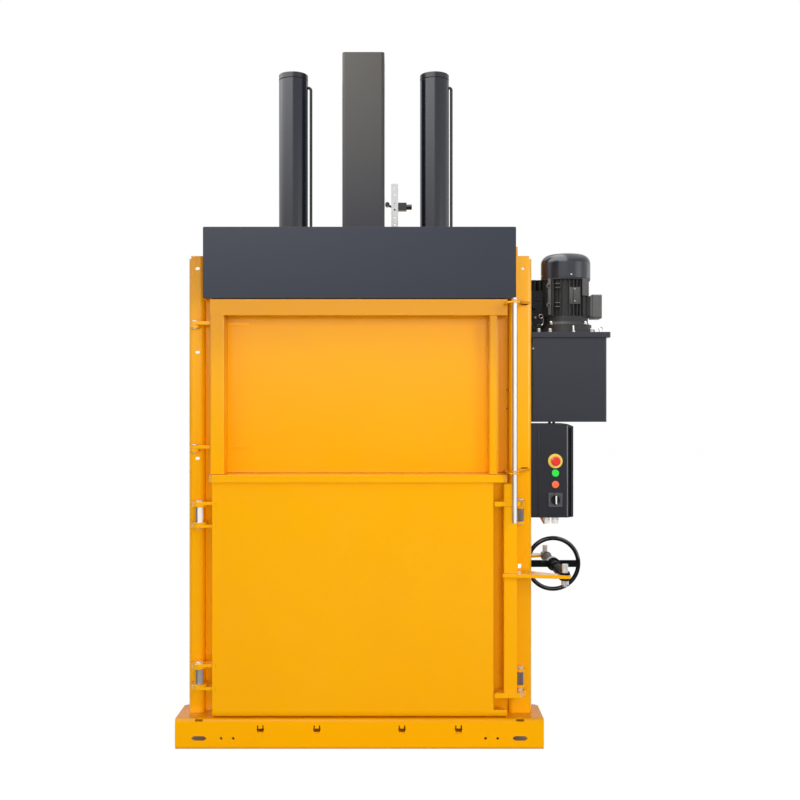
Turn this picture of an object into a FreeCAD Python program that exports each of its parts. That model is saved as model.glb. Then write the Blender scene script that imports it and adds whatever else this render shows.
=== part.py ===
import FreeCAD, Part
import math
import os

# Vertical recycling baler. Millimetres, X to the right, Y to the rear, Z up.
# The origin is on the floor, under the axis of the guide column.

V = FreeCAD.Vector

# Fits shared by mating pieces
running_fit = 0.05
seat_gap = 0.3

# Press chamber, which the rest of the machine is set around
chamber_width = 1200.0
chamber_depth = 800.0
chamber_height = 1755.0
half_width = chamber_width / 2
half_depth = chamber_depth / 2
wall_sheet = 6.0
wall_bend = 3.0
wall_lip = 12.0
wall_out = half_width + wall_sheet
back_out = half_depth + wall_sheet
lip_y = -half_depth - wall_lip

# Base: folded feet, beams between them, floor and strap channels
foot_width = chamber_width + 300.0
foot_depth = 216.0
foot_height = 125.0
foot_reach = half_depth + 136.0
foot_back = foot_reach - foot_depth
foot_sheet = 6.0
foot_bend = 9.0
foot_lip = 36.0
foot_corner = 28.0
beam_width = 80.0
beam_sheet = 6.0
beam_bend = 3.0
beam_pitch = 288.0
floor_sheet = 8.0
floor_top = foot_height + floor_sheet
wall_top = foot_height + chamber_height
strap_inner = 173.0
strap_outer = 403.0
strap_xs = (-strap_outer, -strap_inner, strap_inner, strap_outer)
strap_slot = 32.0
strap_throat = 20.0
strap_sheet = 4.0
strap_bottom = 66.0
strap_funnel = 20.0
strap_slot_height = 33.0
strap_leg = 5.0
pry_slot_x = foot_width / 2 - 97.0
pry_slot_z = 46.0
pry_slot_length = 63.0
pry_slot_height = 18.0
pry_slot_point = 11.0
foot_hole_xs = (pry_slot_x - 140.0, pry_slot_x - 91.0)
foot_hole_radius = 5.3
relief_width = 30.0
relief_height = 11.0

# Side posts and horizontal wall ribs
rib_depth = 84.0
rib_height = 60.0
rib_sheet = 5.0
rib_count = 5
rib_first_z = 330.0
rib_pitch = 310.0
rib_out = wall_out + rib_depth
post_width = 220.0
post_sheet = 8.0
post_bend = 4.0

# Front columns
column_x = half_width + 112.0
column_front_y = lip_y - 38.0
column_depth = 100.0
column_sheet = 6.0
column_bend = 14.0
column_top = wall_top + 139.0
flange_left = 65.0
flange_right = 95.0
web_left = flange_left - column_x
web_right = column_x - flange_right
web_depth = 60.0
column_notch = 11.0
rib_front_y = column_front_y + 105.0
flange_slot_x = column_x - 37.0
flange_slot_length = 19.0
flange_slot_height = 11.0
window_x = column_x - 51.0
window_z = 733.0
window_width = 14.0
window_height = 18.0

# Crown, lintel and header cover
crown_width = rib_out * 2
crown_depth = 260.0
crown_height = 225.0
crown_sheet = 12.0
crown_top = wall_top + crown_height
lintel_height = 174.0
lintel_sheet = 6.0
lintel_bend = 4.0
header_width = chamber_width + 76.0
header_bottom = wall_top - 44.0
header_height = 291.6
header_front_y = column_front_y - 76.0
header_sheet = 3.0
header_radius = 5.0
header_rib_x = 320.0
header_rib_width = 60.0

# Press plate, guide column and cylinders
platen_gap = 8.0
platen_height = 76.0
platen_bottom = wall_top - 90.0
platen_top = platen_bottom + platen_height
platen_rib = 12.0
platen_pocket = 28.0
platen_groove = 30.0
platen_cells_x = 5
platen_cells_y = 4
guide_size = 190.0
guide_sheet = 10.0
guide_radius = 13.0
guide_top = platen_top + 1119.0
sleeve_wall = 20.0
sleeve_gap = 0.5
sleeve_height = 270.0
cylinder_x = 323.0
barrel_radius = 66.5
barrel_bore = 56.5
barrel_top = wall_top + 1000.0
cap_height = 29.0
cap_groove = 4.0
cap_groove_depth = 4.0
cap_chamfer = 3.0
collar_radius = 92.0
collar_height = 20.0
gland_height = 45.0
rod_radius = 35.0
rod_pad = 20.0
rod_top = barrel_top - 26.0
piston_height = 40.0
pipe_radius = 6.5
pipe_offsets = (80.0, 77.0)
pipe_height = barrel_top - 28.0

# Position switch beside the guide column
strip_x = 141.0
strip_y = -60.0
strip_width = 31.0
strip_sheet = 4.0
strip_top = crown_top + 294.0
strip_hole_radius = 4.5
strip_hole_pitch = 34.0
strip_hole_count = 6
switch_z = strip_top - 102.0
switch_length = 38.0
switch_height = 36.0
switch_depth = 28.0
switch_neck = 24.0
switch_neck_radius = 12.0
lever_rise = 10.8
lever_sheet = 5.0
lever_width = 10.0
lever_boss = 8.0
lever_tip = 7.0
lever_pin = 4.0
roller_radius = 10.0
roller_gap = 3.0

# Hydraulic unit on the right side
tank_x = column_x + 4.0
tank_front_y = column_front_y + 40.0
tank_length = 315.0
tank_depth = 400.0
tank_bottom = 1330.0
tank_height = 353.0
tank_sheet = 4.0
tank_bracket_height = 50.0
tank_bracket_zs = (tank_bottom + 50.0, tank_bottom + 250.0)
tank_bracket_inset = 20.0
lid_height = 23.0
lid_overhang = 14.0
lid_radius = 8.0
lid_inner_radius = 3.0
lid_top = tank_bottom + tank_height + lid_height
motor_x = tank_x + 175.5
motor_y = tank_front_y + 210.0
flange_radius = 126.0
flange_height = 22.0
step_radius = 112.0
step_height = 20.0
bell_radius = 97.0
bell_height = 78.0
bell_step = 5.0
bell_slope = 12.0
core_radius = 86.0
fin_radius = 101.0
fin_root = 2.0
fin_count = 36
fin_sheet = 3.2
fin_height = 158.0
shield_height = 7.0
shield_inset = 1.5
lug_count = 4
lug_radius = 9.0
lug_offset = 6.0
cowl_radius = 107.5
cowl_height = 107.0
cowl_round = 40.0
cowl_sheet = 3.0
cowl_slot_count = 10
cowl_slot_width = 7.0
cowl_slot_inner = 22.0
cowl_slot_outer = 60.0
terminal_x = motor_x + 101.5
terminal_z = lid_top + 122.5
terminal_width = 49.0
terminal_depth = 96.0
terminal_height = 104.0
terminal_cover = 40.0
terminal_inset = 5.0
terminal_radius = 8.0
terminal_case_radius = 6.0
terminal_neck_width = 76.0
terminal_neck_height = 80.0
block_x = tank_x + 46.0
block_width = 50.0
block_radius = 3.0
block_foot = 26.0
block_foot_height = 46.0
block_depth = 96.0
block_height = 190.0
block_levels = 4
block_port_levels = (0.5, 2.5)
block_groove = 4.0
block_groove_depth = 3.0
port_radius = 10.0
port_length = 18.0
solenoid_radius = 13.0
solenoid_height = 48.0

# Control box
box_front_y = column_front_y + 10.0
box_depth = 180.0
box_bottom = 933.0
box_height = 389.0
box_face = 149.0
box_shoulder = 29.0
box_shoulder_depth = 26.0
box_shoulder_drop = 10.0
box_right = column_x + box_face + box_shoulder
box_sheet = 3.0
box_bend = 3.0
controls_x = column_x + 98.0
stop_z = box_bottom + 235.0
stop_collar_radius = 30.0
stop_collar_height = 6.0
stop_head_radius = 19.0
stop_head_height = 18.0
stop_head_round = 5.0
stop_travel = 6.0
stop_rest_gap = 1.0
button_zs = (box_bottom + 185.0, box_bottom + 138.0)
button_radius = 15.0
button_height = 8.0
button_round = 2.0
button_travel = 3.0
button_rest_gap = 0.5
button_stem = 8.0
stem_length = 16.0
selector_z = box_bottom + 74.0
selector_size = 58.0
selector_round = 4.0
selector_window = 41.0
selector_window_round = 2.0
selector_height = 9.0
selector_floor = 3.0
knob_radius = 19.0
knob_dial = 4.0
knob_grip = 11.0
knob_grip_height = 10.0
gland_xs = (controls_x - 32.0, controls_x + 5.0)
gland_y = box_front_y + 40.0
gland_radius = 15.0
gland_stem_radius = 12.0
gland_bore = 7.5
gland_nut = 11.2
gland_drop = 28.0
conduit_xs = (controls_x - 9.0, controls_x + 9.0)
conduit_y = gland_y + 60.0
conduit_radius = 6.0

# Lower door
door_sheet = 6.0
door_back_y = lip_y - 8.0
door_face_y = door_back_y - door_sheet
lower_left = 1.0 - half_width
lower_right = half_width - 55.0
lower_bottom = 128.0
lower_top = 1088.0
lower_front_y = door_back_y - 116.0
lower_bend = 24.0
lower_lip = 34.0
beam_rail_height = 28.0
beam_rail_front_y = lower_front_y - 24.0
beam_rail_left = -half_width - 10.0
beam_rail_right = half_width
beam_rail_cut = 14.0
beam_rail_cover = 2.0
lower_axis_x = 55.0 - column_x
lower_axis_y = column_front_y - 50.0
lower_hinge_zs = (953.5, 292.0)
lug_gap = 81.0
lug_sheet = 12.0
lug_trim = 6.0
eye_radius = 22.0
hinge_eye = 31.0
pin_radius = 10.0
pin_head = 5.0
pin_head_lip = 4.0
bush_radius = 16.0
bush_length = 64.0
leaf_width = 56.0
jamb_lap = 20.0
jamb_sheet = 6.0

# Upper door
door_gap = 1.0
header_gap = 4.0
upper_left = -half_width - 9.0
upper_right = wall_out + 8.0
upper_bottom = lower_top + beam_rail_height + beam_rail_cover + door_gap
upper_top = header_bottom - header_gap
upper_front_y = door_back_y - 106.0
rail_height = 65.0
rail_end_x = half_width + 3.0
stile_width = 57.0
stile_bend = 2.0
stile_right_x = half_width - 70.0
stile_right_width = 33.0
stile_right_inset = 8.0
stile_right_bend = 5.0
tube_sheet = 4.0
upper_axis_x = 32.0 - column_x
upper_axis_y = column_front_y - 35.0
upper_hinge_zs = (upper_top - 95.0, upper_bottom + 110.0)
upper_leaf = 14.0
upper_leaf_width = 40.0
upper_lug = 12.0
upper_lug_width = 36.0
upper_pin = 7.0
upper_pin_tail = 4.0
upper_pin_rise = 1.0
upper_pin_head = 4.0
strap_bar_length = 92.0
strap_bar_sheet = 5.0
flange_slot_zs = (column_top - 52.0, upper_top - 212.0, upper_bottom + 60.5)

# Lock beam, lever and turnbuckle on the right side
lock_x = column_x - 55.0
lock_y = column_front_y - 50.0
lock_pivot_zs = (951.0, 283.0)
lock_beam_left = lock_x - 69.0
lock_beam_right = lock_x - 16.0
lock_beam_front_y = lower_front_y - 4.0
lock_beam_depth = 58.0
lock_beam_bottom = 230.0
lock_beam_top = 1080.0
lock_beam_sheet = 5.0
lock_eye = lock_x - lock_beam_right - seat_gap
lock_lug_trim = 4.0
lock_pin_rise = 2.0
lock_pin_tail = 3.0
ear_left = lower_right + 3.0
ear_front_y = lock_beam_front_y - 8.0
ear_sheet = 20.0
ear_taper = 6.0
ear_offsets = (0.0, 12.0)
lock_bush = 52.0
lever_end_x = lock_x + 172.0
lever_end_y = lock_y - 77.0
lever_z = 712.0
lever_plate = 14.0
lever_eye = 24.0
lever_lap = 8.0
lever_front = 34.0
lever_front_lap = 26.0
lever_front_run = 20.0
lever_back = 34.0
lever_back_rise = 12.0
lever_back_run = 70.0
lever_tangent = math.radians(40.0)
lever_pin_radius = 9.0
open_pivot_gap = 2.0
link_y = -6.0
link_plate = 10.0
link_eye = 22.0
link_shoulder = 40.0
link_shoulder_rise = 8.0
link_root_inset = 20.0
fork_width = 40.0
fork_tine = 8.0
fork_gap = 0.4
fork_reach = 34.0
fork_heel = 14.0
fork_tail = 30.0
fork_body_radius = 22.0
journal_radius = 9.0
journal_length = 24.0
tube_radius = 20.0
tube_front_run = 90.0
tube_web = 12.0
spindle_radius = 12.0
hub_radius = 29.0
hub_length = 40.0
wheel_y = lever_end_y + 327.0
wheel_radius = 119.5
wheel_rim = 9.5
spoke_height = 30.0
spoke_sheet = 9.0
front_fork_length = 188.0
spindle_length = 236.0
front_pin_head = 34.0
front_pin_head_lip = 3.0
front_nut = 18.0
front_nut_lip = 6.0
front_pin_tail = 8.0
rear_pin_tail = 10.0
rear_pin_rise = 2.0
rear_pin_head = 30.0
rear_pin_head_lip = 2.5

# Locking rod of the upper door
bolt_x = lock_x - 32.0
bolt_y = column_front_y - 150.0
bolt_radius = 10.4
bolt_bottom = 929.0
bolt_head_radius = 13.5
bolt_head_height = 6.0
bolt_collar_lip = 1.5
bolt_collar_height = 6.0
guide_eye_radius = 14.5
guide_plate = 6.0
guide_zs = (upper_top - 14.0, upper_bottom + 14.0)
guide_slot_x = bolt_x + 56.0
guide_slot_width = 32.0
guide_slot_height = 12.0
guide_tang_gap = 4.0
guide_shoulder = 8.0
guide_nose = 12.0
guide_nose_taper = 3.0
guide_outer_drop = 115.0
guide_inner_drop = 95.0
hook_zs = (upper_top - 22.0, upper_bottom + 6.0)
hook_radius = 20.0
hook_gap = 5.0
hook_root = 15.0
hook_nose = 10.0
hook_slope = 30.0


def point(axis, u, v, w):
    if axis == "x":
        return V(w, u, v)
    if axis == "y":
        return V(u, w, v)
    return V(u, v, w)


def box(x0, x1, y0, y1, z0, z1):
    return Part.makeBox(x1 - x0, y1 - y0, z1 - z0, V(x0, y0, z0))


def disc(axis, u, v, lo, hi, radius):
    direction = point(axis, 0, 0, 1)
    return Part.makeCylinder(radius, hi - lo, point(axis, u, v, lo), direction)


def ring(axis, u, v, lo, hi, outer, inner):
    return disc(axis, u, v, lo, hi, outer).cut(disc(axis, u, v, lo, hi, inner))


def union(shapes):
    whole = shapes[0].fuse(list(shapes[1:]))
    return whole.removeSplitter()


def corner(before, at, after, radius):
    # Tangent points and the middle of the arc that rounds one corner
    ax, ay = at[0] - before[0], at[1] - before[1]
    bx, by = after[0] - at[0], after[1] - at[1]
    la, lb = math.hypot(ax, ay), math.hypot(bx, by)
    ax, ay, bx, by = ax / la, ay / la, bx / lb, by / lb
    turn = math.acos(max(-1.0, min(1.0, ax * bx + ay * by)))
    reach = radius * math.tan(turn / 2)
    start = (at[0] - ax * reach, at[1] - ay * reach)
    end = (at[0] + bx * reach, at[1] + by * reach)
    nx, ny = bx - ax, by - ay
    length = math.hypot(nx, ny)
    depth = radius / math.cos(turn / 2) - radius
    middle = (at[0] + nx / length * depth, at[1] + ny / length * depth)
    return start, middle, end


def outline(axis, points, radii, level):
    # Closed wire through the points, each corner rounded by its own radius
    edges = []
    count = len(points)
    ends = []
    for index, at in enumerate(points):
        radius = radii[index]
        if radius <= 0:
            ends.append((at, at))
            continue
        start, middle, end = corner(points[index - 1], at, points[(index + 1) % count], radius)
        ends.append((start, end))
        arc = Part.Arc(point(axis, *start, level), point(axis, *middle, level), point(axis, *end, level))
        edges.append(arc.toShape())
    for index in range(count):
        leave = ends[index][1]
        arrive = ends[(index + 1) % count][0]
        if math.hypot(arrive[0] - leave[0], arrive[1] - leave[1]) > 1e-6:
            edges.append(Part.makeLine(point(axis, *leave, level), point(axis, *arrive, level)))
    return Part.Wire(Part.__sortEdges__(edges))


def prism(axis, points, lo, hi, radius=0.0):
    radii = [radius] * len(points) if isinstance(radius, (int, float)) else radius
    face = Part.Face(outline(axis, points, radii, lo))
    return face.extrude(point(axis, 0, 0, hi - lo))


def folded(axis, path, lo, hi, sheet, bend=0.0):
    # Sheet-metal section: the path is one skin, the sheet lies on its left side, or right if negative
    side = 1 if sheet > 0 else -1
    heads = []
    for a, b in zip(path, path[1:]):
        length = math.hypot(b[0] - a[0], b[1] - a[1])
        heads.append(((b[0] - a[0]) / length, (b[1] - a[1]) / length))
    other = []
    radii = []
    other_radii = []
    for index, at in enumerate(path):
        before = heads[max(index - 1, 0)]
        after = heads[min(index, len(heads) - 1)]
        nx, ny = -before[1] - after[1], before[0] + after[0]
        scale = sheet / (1 + before[0] * after[0] + before[1] * after[1])
        other.append((at[0] + nx * scale, at[1] + ny * scale))
        turn = (before[0] * after[1] - before[1] * after[0]) * side
        inner = bend if abs(turn) > 1e-9 else 0.0
        outer = bend + abs(sheet) if inner > 0 else 0.0
        radii.append(outer if turn > 0 else inner)
        other_radii.append(inner if turn > 0 else outer)
    points = list(path) + other[::-1]
    return prism(axis, points, lo, hi, radii + other_radii[::-1])


def mirror_x(shape):
    return shape.mirror(V(0, 0, 0), V(1, 0, 0))


def mirror_y(shape):
    return shape.mirror(V(0, 0, 0), V(0, 1, 0))


def turned(shape, degrees, centre, direction):
    copy = shape.copy()
    copy.rotate(centre, direction, degrees)
    return copy


def eye_plate(x, y, radius, x0, x1, y0, y1, z0, z1, bore):
    # Flat lug: a bar with a round eye about a vertical pin
    bar = box(x0, x1, y0, y1, z0, z1)
    return union([bar, disc("z", x, y, z0, z1, radius)]).cut(disc("z", x, y, z0, z1, bore))


def save(name, shapes):
    solids = []
    for shape in shapes:
        solids.extend(shape.Solids)
    for solid in solids:
        if not solid.isValid():
            print("not valid:", name)
    whole = solids[0] if len(solids) == 1 else Part.Compound(solids)
    whole.exportStep(os.path.join("parts", name + ".step"))
    print(name, len(solids), round(whole.Volume / 1e6, 3))


def strap_cutter(x, y0, y1):
    outer = strap_slot / 2 + strap_sheet
    return box(x - outer, x + outer, y0, y1, strap_bottom, foot_height - foot_sheet)


def make_foot():
    # Front foot: folded channel with inward lips, seen faces pierced
    front, back = -foot_reach, -foot_back
    path = [
        (front + foot_lip, 0.0),
        (front, 0.0),
        (front, foot_height),
        (back, foot_height),
        (back, 0.0),
        (back - foot_lip, 0.0),
    ]
    foot = folded("x", path, -foot_width / 2, foot_width / 2, -foot_sheet, foot_bend)
    for side in (-1, 1):
        outer = side * foot_width / 2
        chamfer = prism(
            "z",
            [(outer, back - foot_corner), (outer, back), (outer - side * foot_corner, back)],
            0.0,
            foot_height,
        )
        foot = foot.cut(chamfer)
    for x in strap_xs:
        foot = foot.cut(strap_cutter(x, front + foot_sheet, back))
    return foot


def pierce_front(foot):
    front = -foot_reach
    reach = front + foot_sheet
    tip = pry_slot_length / 2
    flat = tip - pry_slot_point
    half = pry_slot_height / 2
    cutters = []
    for side in (-1, 1):
        x = side * pry_slot_x
        z = pry_slot_z
        points = [(x - tip, z), (x - flat, z - half), (x + flat, z - half)]
        points += [(x + tip, z), (x + flat, z + half), (x - flat, z + half)]
        cutters.append(prism("y", points, front, reach))
        for hole_x in foot_hole_xs:
            cutters.append(disc("y", side * hole_x, pry_slot_z, front, reach, foot_hole_radius))
        relief = box(
            x - relief_width / 2,
            x + relief_width / 2,
            front,
            front + foot_bend + foot_sheet,
            foot_height - relief_height,
            foot_height,
        )
        cutters.append(relief)
    for x in strap_xs:
        funnel_top = strap_bottom + strap_funnel
        wide, narrow = strap_slot / 2, strap_throat / 2
        points = [(x - narrow, strap_bottom), (x + narrow, strap_bottom)]
        points += [(x + wide, funnel_top), (x - wide, funnel_top)]
        cutters.append(prism("y", points, front, reach))
        for side in (-1, 1):
            leg = x + side * (wide - strap_leg)
            top = strap_bottom + strap_slot_height
            cutters.append(box(leg - strap_leg / 2, leg + strap_leg / 2, front, reach, funnel_top, top))
    return foot.cut(cutters)


def make_base():
    foot = make_foot()
    save("base_feet", [pierce_front(foot), mirror_y(foot)])
    beams = []
    for x in (-beam_pitch, 0.0, beam_pitch):
        path = [(x - beam_width / 2, foot_height), (x - beam_width / 2, 0.0)]
        path += [(x + beam_width / 2, 0.0), (x + beam_width / 2, foot_height)]
        beams.append(folded("y", path, -foot_back, foot_back, beam_sheet, beam_bend))
    for side in (-1, 1):
        path = [(side * half_width, foot_height), (side * half_width, 0.0)]
        path += [(side * rib_out, 0.0), (side * rib_out, foot_height)]
        beams.append(folded("y", path, -foot_back, foot_back, side * beam_sheet, beam_bend))
    save("base_beams", beams)


def make_floor():
    edges = [-half_width]
    for x in strap_xs:
        edges += [x - strap_slot / 2, x + strap_slot / 2]
    edges.append(half_width)
    pieces = []
    for left, right in zip(edges[::2], edges[1::2]):
        pieces.append(box(left, right, lip_y, half_depth, foot_height, floor_top))
    for x in strap_xs:
        wide = strap_slot / 2 + strap_sheet
        top = foot_height - foot_sheet
        path = [(x - wide, top), (x - wide, strap_bottom), (x + wide, strap_bottom), (x + wide, top)]
        pieces.append(folded("y", path, -foot_reach + foot_sheet, foot_reach - foot_sheet, strap_sheet))
    save("chamber_floor", pieces)


def make_walls():
    left = [(-half_width, half_depth), (-half_width, lip_y), (web_left, lip_y)]
    right = [(half_width, half_depth), (half_width, lip_y), (web_right, lip_y)]
    wall = folded("z", left, foot_height, wall_top, -wall_sheet, wall_bend)
    save("side_wall_left", [wall])
    wall = folded("z", right, foot_height, wall_top, wall_sheet, wall_bend)
    jamb_left, jamb_top = lower_right - jamb_lap, lower_top + beam_rail_height
    jamb = box(jamb_left, upper_right, lip_y - jamb_sheet, lip_y, foot_height, jamb_top)
    save("side_wall_right", [wall, jamb])
    save("back_wall", [box(-wall_out, wall_out, half_depth, back_out, foot_height, wall_top)])
    ribs = []
    for level in range(rib_count):
        z = rib_first_z + level * rib_pitch
        low, high = z - rib_height / 2, z + rib_height / 2
        side_path = [(wall_out, low), (rib_out, low), (rib_out, high), (wall_out, high)]
        for y0, y1 in ((rib_front_y, -post_width / 2), (post_width / 2, back_out)):
            rib = folded("y", side_path, y0, y1, rib_sheet)
            ribs += [rib, mirror_x(rib)]
        out = back_out + rib_depth
        back_path = [(back_out, low), (out, low), (out, high), (back_out, high)]
        ribs.append(folded("x", back_path, -wall_out, wall_out, rib_sheet))
    save("wall_ribs", ribs)
    half = post_width / 2
    path = [(wall_out, -half), (rib_out, -half), (rib_out, half), (wall_out, half)]
    post = folded("z", path, foot_height, wall_top, post_sheet, post_bend)
    save("side_posts", [post, mirror_x(post)])


def make_column(side, flange):
    web = column_x - flange
    path = [
        (side * column_x, column_front_y + column_depth),
        (side * column_x, column_front_y),
        (side * web, column_front_y),
        (side * web, column_front_y + web_depth),
    ]
    column = folded("z", path, foot_height, column_top, side * column_sheet * -1, column_bend)
    notch = box(
        min(side * column_x, side * (column_x - column_notch)),
        max(side * column_x, side * (column_x - column_notch)),
        column_front_y,
        column_front_y + column_depth,
        column_top - column_notch,
        column_top,
    )
    return column.cut(notch)


def flange_slot(x, z, length, height):
    back = column_front_y + column_sheet
    span = (length - height) / 2
    bar = box(x - span, x + span, column_front_y, back, z - height / 2, z + height / 2)
    ends = [disc("y", x + sign * span, z, column_front_y, back, height / 2) for sign in (-1, 1)]
    return union([bar] + ends)


def make_columns():
    left = make_column(-1, flange_left)
    for z in flange_slot_zs:
        left = left.cut(flange_slot(-flange_slot_x, z, flange_slot_length, flange_slot_height))
    save("column_left", [left])
    right = make_column(1, flange_right)
    flange_back = column_front_y + column_sheet
    hole = disc("y", flange_slot_x, flange_slot_zs[0], column_front_y, flange_back, foot_hole_radius)
    right = right.cut(hole)
    window = box(
        window_x - window_width / 2,
        window_x + window_width / 2,
        column_front_y,
        flange_back,
        window_z - window_height / 2,
        window_z + window_height / 2,
    )
    right = right.cut(window)
    for z in guide_zs:
        middle = z + guide_plate / 2
        right = right.cut(flange_slot(guide_slot_x, middle, guide_slot_width, guide_slot_height))
    save("column_right", [right])


def make_crown():
    half = crown_width / 2
    deep = crown_depth / 2
    outer = box(-half, half, -deep, deep, wall_top, crown_top)
    inner = box(
        -half + crown_sheet,
        half - crown_sheet,
        -deep + crown_sheet,
        deep - crown_sheet,
        wall_top + crown_sheet,
        crown_top - crown_sheet,
    )
    crown = outer.cut(inner)
    for side in (-1, 1):
        hole = barrel_radius + running_fit
        crown = crown.cut(disc("z", side * cylinder_x, 0, wall_top, crown_top, hole))
    sleeve = guide_size / 2 + sleeve_gap + sleeve_wall
    crown = crown.cut(box(-sleeve, sleeve, -sleeve, sleeve, wall_top, crown_top))
    save("crown_beam", [crown])
    bore = guide_size / 2 + sleeve_gap
    square = [(-sleeve, -sleeve), (sleeve, -sleeve), (sleeve, sleeve), (-sleeve, sleeve)]
    hole = [(-bore, -bore), (bore, -bore), (bore, bore), (-bore, bore)]
    sleeve_top = wall_top + sleeve_height
    tube = prism("z", square, wall_top, sleeve_top).cut(prism("z", hole, wall_top, sleeve_top, guide_radius))
    save("guide_sleeve", [tube])
    front, back = column_front_y, lip_y
    low, high = header_bottom, header_bottom + lintel_height
    path = [(back, low), (front, low), (front, high), (back, high)]
    save("front_lintel", [folded("x", path, web_left, web_right, -lintel_sheet, lintel_bend)])


def make_header():
    half = header_width / 2
    top = header_bottom + header_height
    corners = [(-half, header_bottom), (half, header_bottom), (half, top), (-half, top)]
    inset = header_sheet
    inner = [
        (-half + inset, header_bottom + inset),
        (half - inset, header_bottom + inset),
        (half - inset, top - inset),
        (-half + inset, top - inset),
    ]
    pan = prism("y", corners, header_front_y, column_front_y, header_radius)
    front = header_front_y + header_sheet
    pan = pan.cut(prism("y", inner, front, column_front_y, header_radius - header_sheet))
    pieces = [pan]
    for side in (-1, 1):
        x = side * header_rib_x
        left, right = x - header_rib_width / 2, x + header_rib_width / 2
        path = [(left, front), (left, column_front_y), (right, column_front_y), (right, front)]
        pieces.append(folded("z", path, header_bottom + inset, top - inset, -header_sheet))
    save("header_cover", [union(pieces)])


def make_platen():
    half_x = half_width - platen_gap
    half_y = half_depth - platen_gap
    plate = box(-half_x, half_x, -half_y, half_y, platen_bottom, platen_top)
    cell_x = (2 * half_x - platen_rib) / platen_cells_x
    cell_y = (2 * half_y - platen_rib) / platen_cells_y
    cutters = []
    for column in range(platen_cells_x):
        for row in range(platen_cells_y):
            x0 = -half_x + platen_rib + column * cell_x
            y0 = -half_y + platen_rib + row * cell_y
            x1 = x0 + cell_x - platen_rib
            y1 = y0 + cell_y - platen_rib
            cutters.append(box(x0, x1, y0, y1, platen_top - platen_pocket, platen_top))
    for x in strap_xs:
        half = strap_slot / 2
        top = platen_bottom + platen_groove
        cutters.append(box(x - half, x + half, -half_y, half_y, platen_bottom, top))
    plate = plate.cut(cutters)
    pads = [disc("z", side * cylinder_x, 0, platen_top - platen_pocket, platen_top, rod_radius + rod_pad)
            for side in (-1, 1)]
    pad = guide_size / 2 + sleeve_wall
    pads.append(box(-pad, pad, -pad, pad, platen_top - platen_pocket, platen_top))
    save("press_plate", [union([plate] + pads)])
    half = guide_size / 2
    inner = half - guide_sheet
    square = [(-half, -half), (half, -half), (half, half), (-half, half)]
    bore = [(-inner, -inner), (inner, -inner), (inner, inner), (-inner, inner)]
    guide = prism("z", square, platen_top, guide_top, guide_radius)
    hollow = prism("z", bore, platen_top, guide_top - guide_sheet, guide_radius - guide_sheet)
    save("guide_column", [guide.cut(hollow)])
    rods = []
    for side in (-1, 1):
        x = side * cylinder_x
        rod = disc("z", x, 0, platen_top, rod_top, rod_radius)
        piston = disc("z", x, 0, rod_top - piston_height, rod_top, barrel_bore - seat_gap)
        rods.append(union([rod, piston]))
    save("piston_rods", rods)


def make_cylinders():
    barrels, heads, pipes = [], [], []
    for side, offset in zip((-1, 1), pipe_offsets):
        x = side * cylinder_x
        barrels.append(ring("z", x, 0, wall_top, barrel_top, barrel_radius, barrel_bore))
        top = barrel_top + cap_height
        groove = barrel_radius - cap_groove_depth
        profile = [
            (0.0, barrel_top),
            (groove, barrel_top),
            (groove, barrel_top + cap_groove),
            (barrel_radius, barrel_top + cap_groove),
            (barrel_radius, top - cap_chamfer),
            (barrel_radius - cap_chamfer, top),
            (0.0, top),
        ]
        face = Part.Face(outline("y", profile, [0.0] * len(profile), 0.0))
        cap = face.revolve(V(0, 0, 0), V(0, 0, 1), 360)
        cap.translate(V(x, 0, 0))
        gland = ring("z", x, 0, wall_top, wall_top + gland_height, barrel_bore, rod_radius + running_fit)
        collar = ring(
            "z", x, 0, crown_top, crown_top + collar_height, collar_radius, barrel_radius + running_fit
        )
        heads += [cap, gland, collar]
        px = x + offset
        bend = offset - barrel_radius - seat_gap
        corner_z = pipe_height - bend
        seat = crown_top + collar_height
        rise = Part.makeLine(V(px, 0, seat), V(px, 0, corner_z))
        turn = math.sin(math.radians(45)) * bend
        middle = V(px - bend + turn, 0, corner_z + turn)
        arc = Part.Arc(V(px, 0, corner_z), middle, V(px - bend, 0, pipe_height)).toShape()
        path = Part.Wire([rise, arc])
        section = Part.Wire(Part.makeCircle(pipe_radius, V(px, 0, seat), V(0, 0, 1)))
        pipes.append(path.makePipeShell([section], True, True))
    save("cylinder_barrels", barrels)
    save("cylinder_heads", heads)
    save("oil_pipes", pipes)


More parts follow.
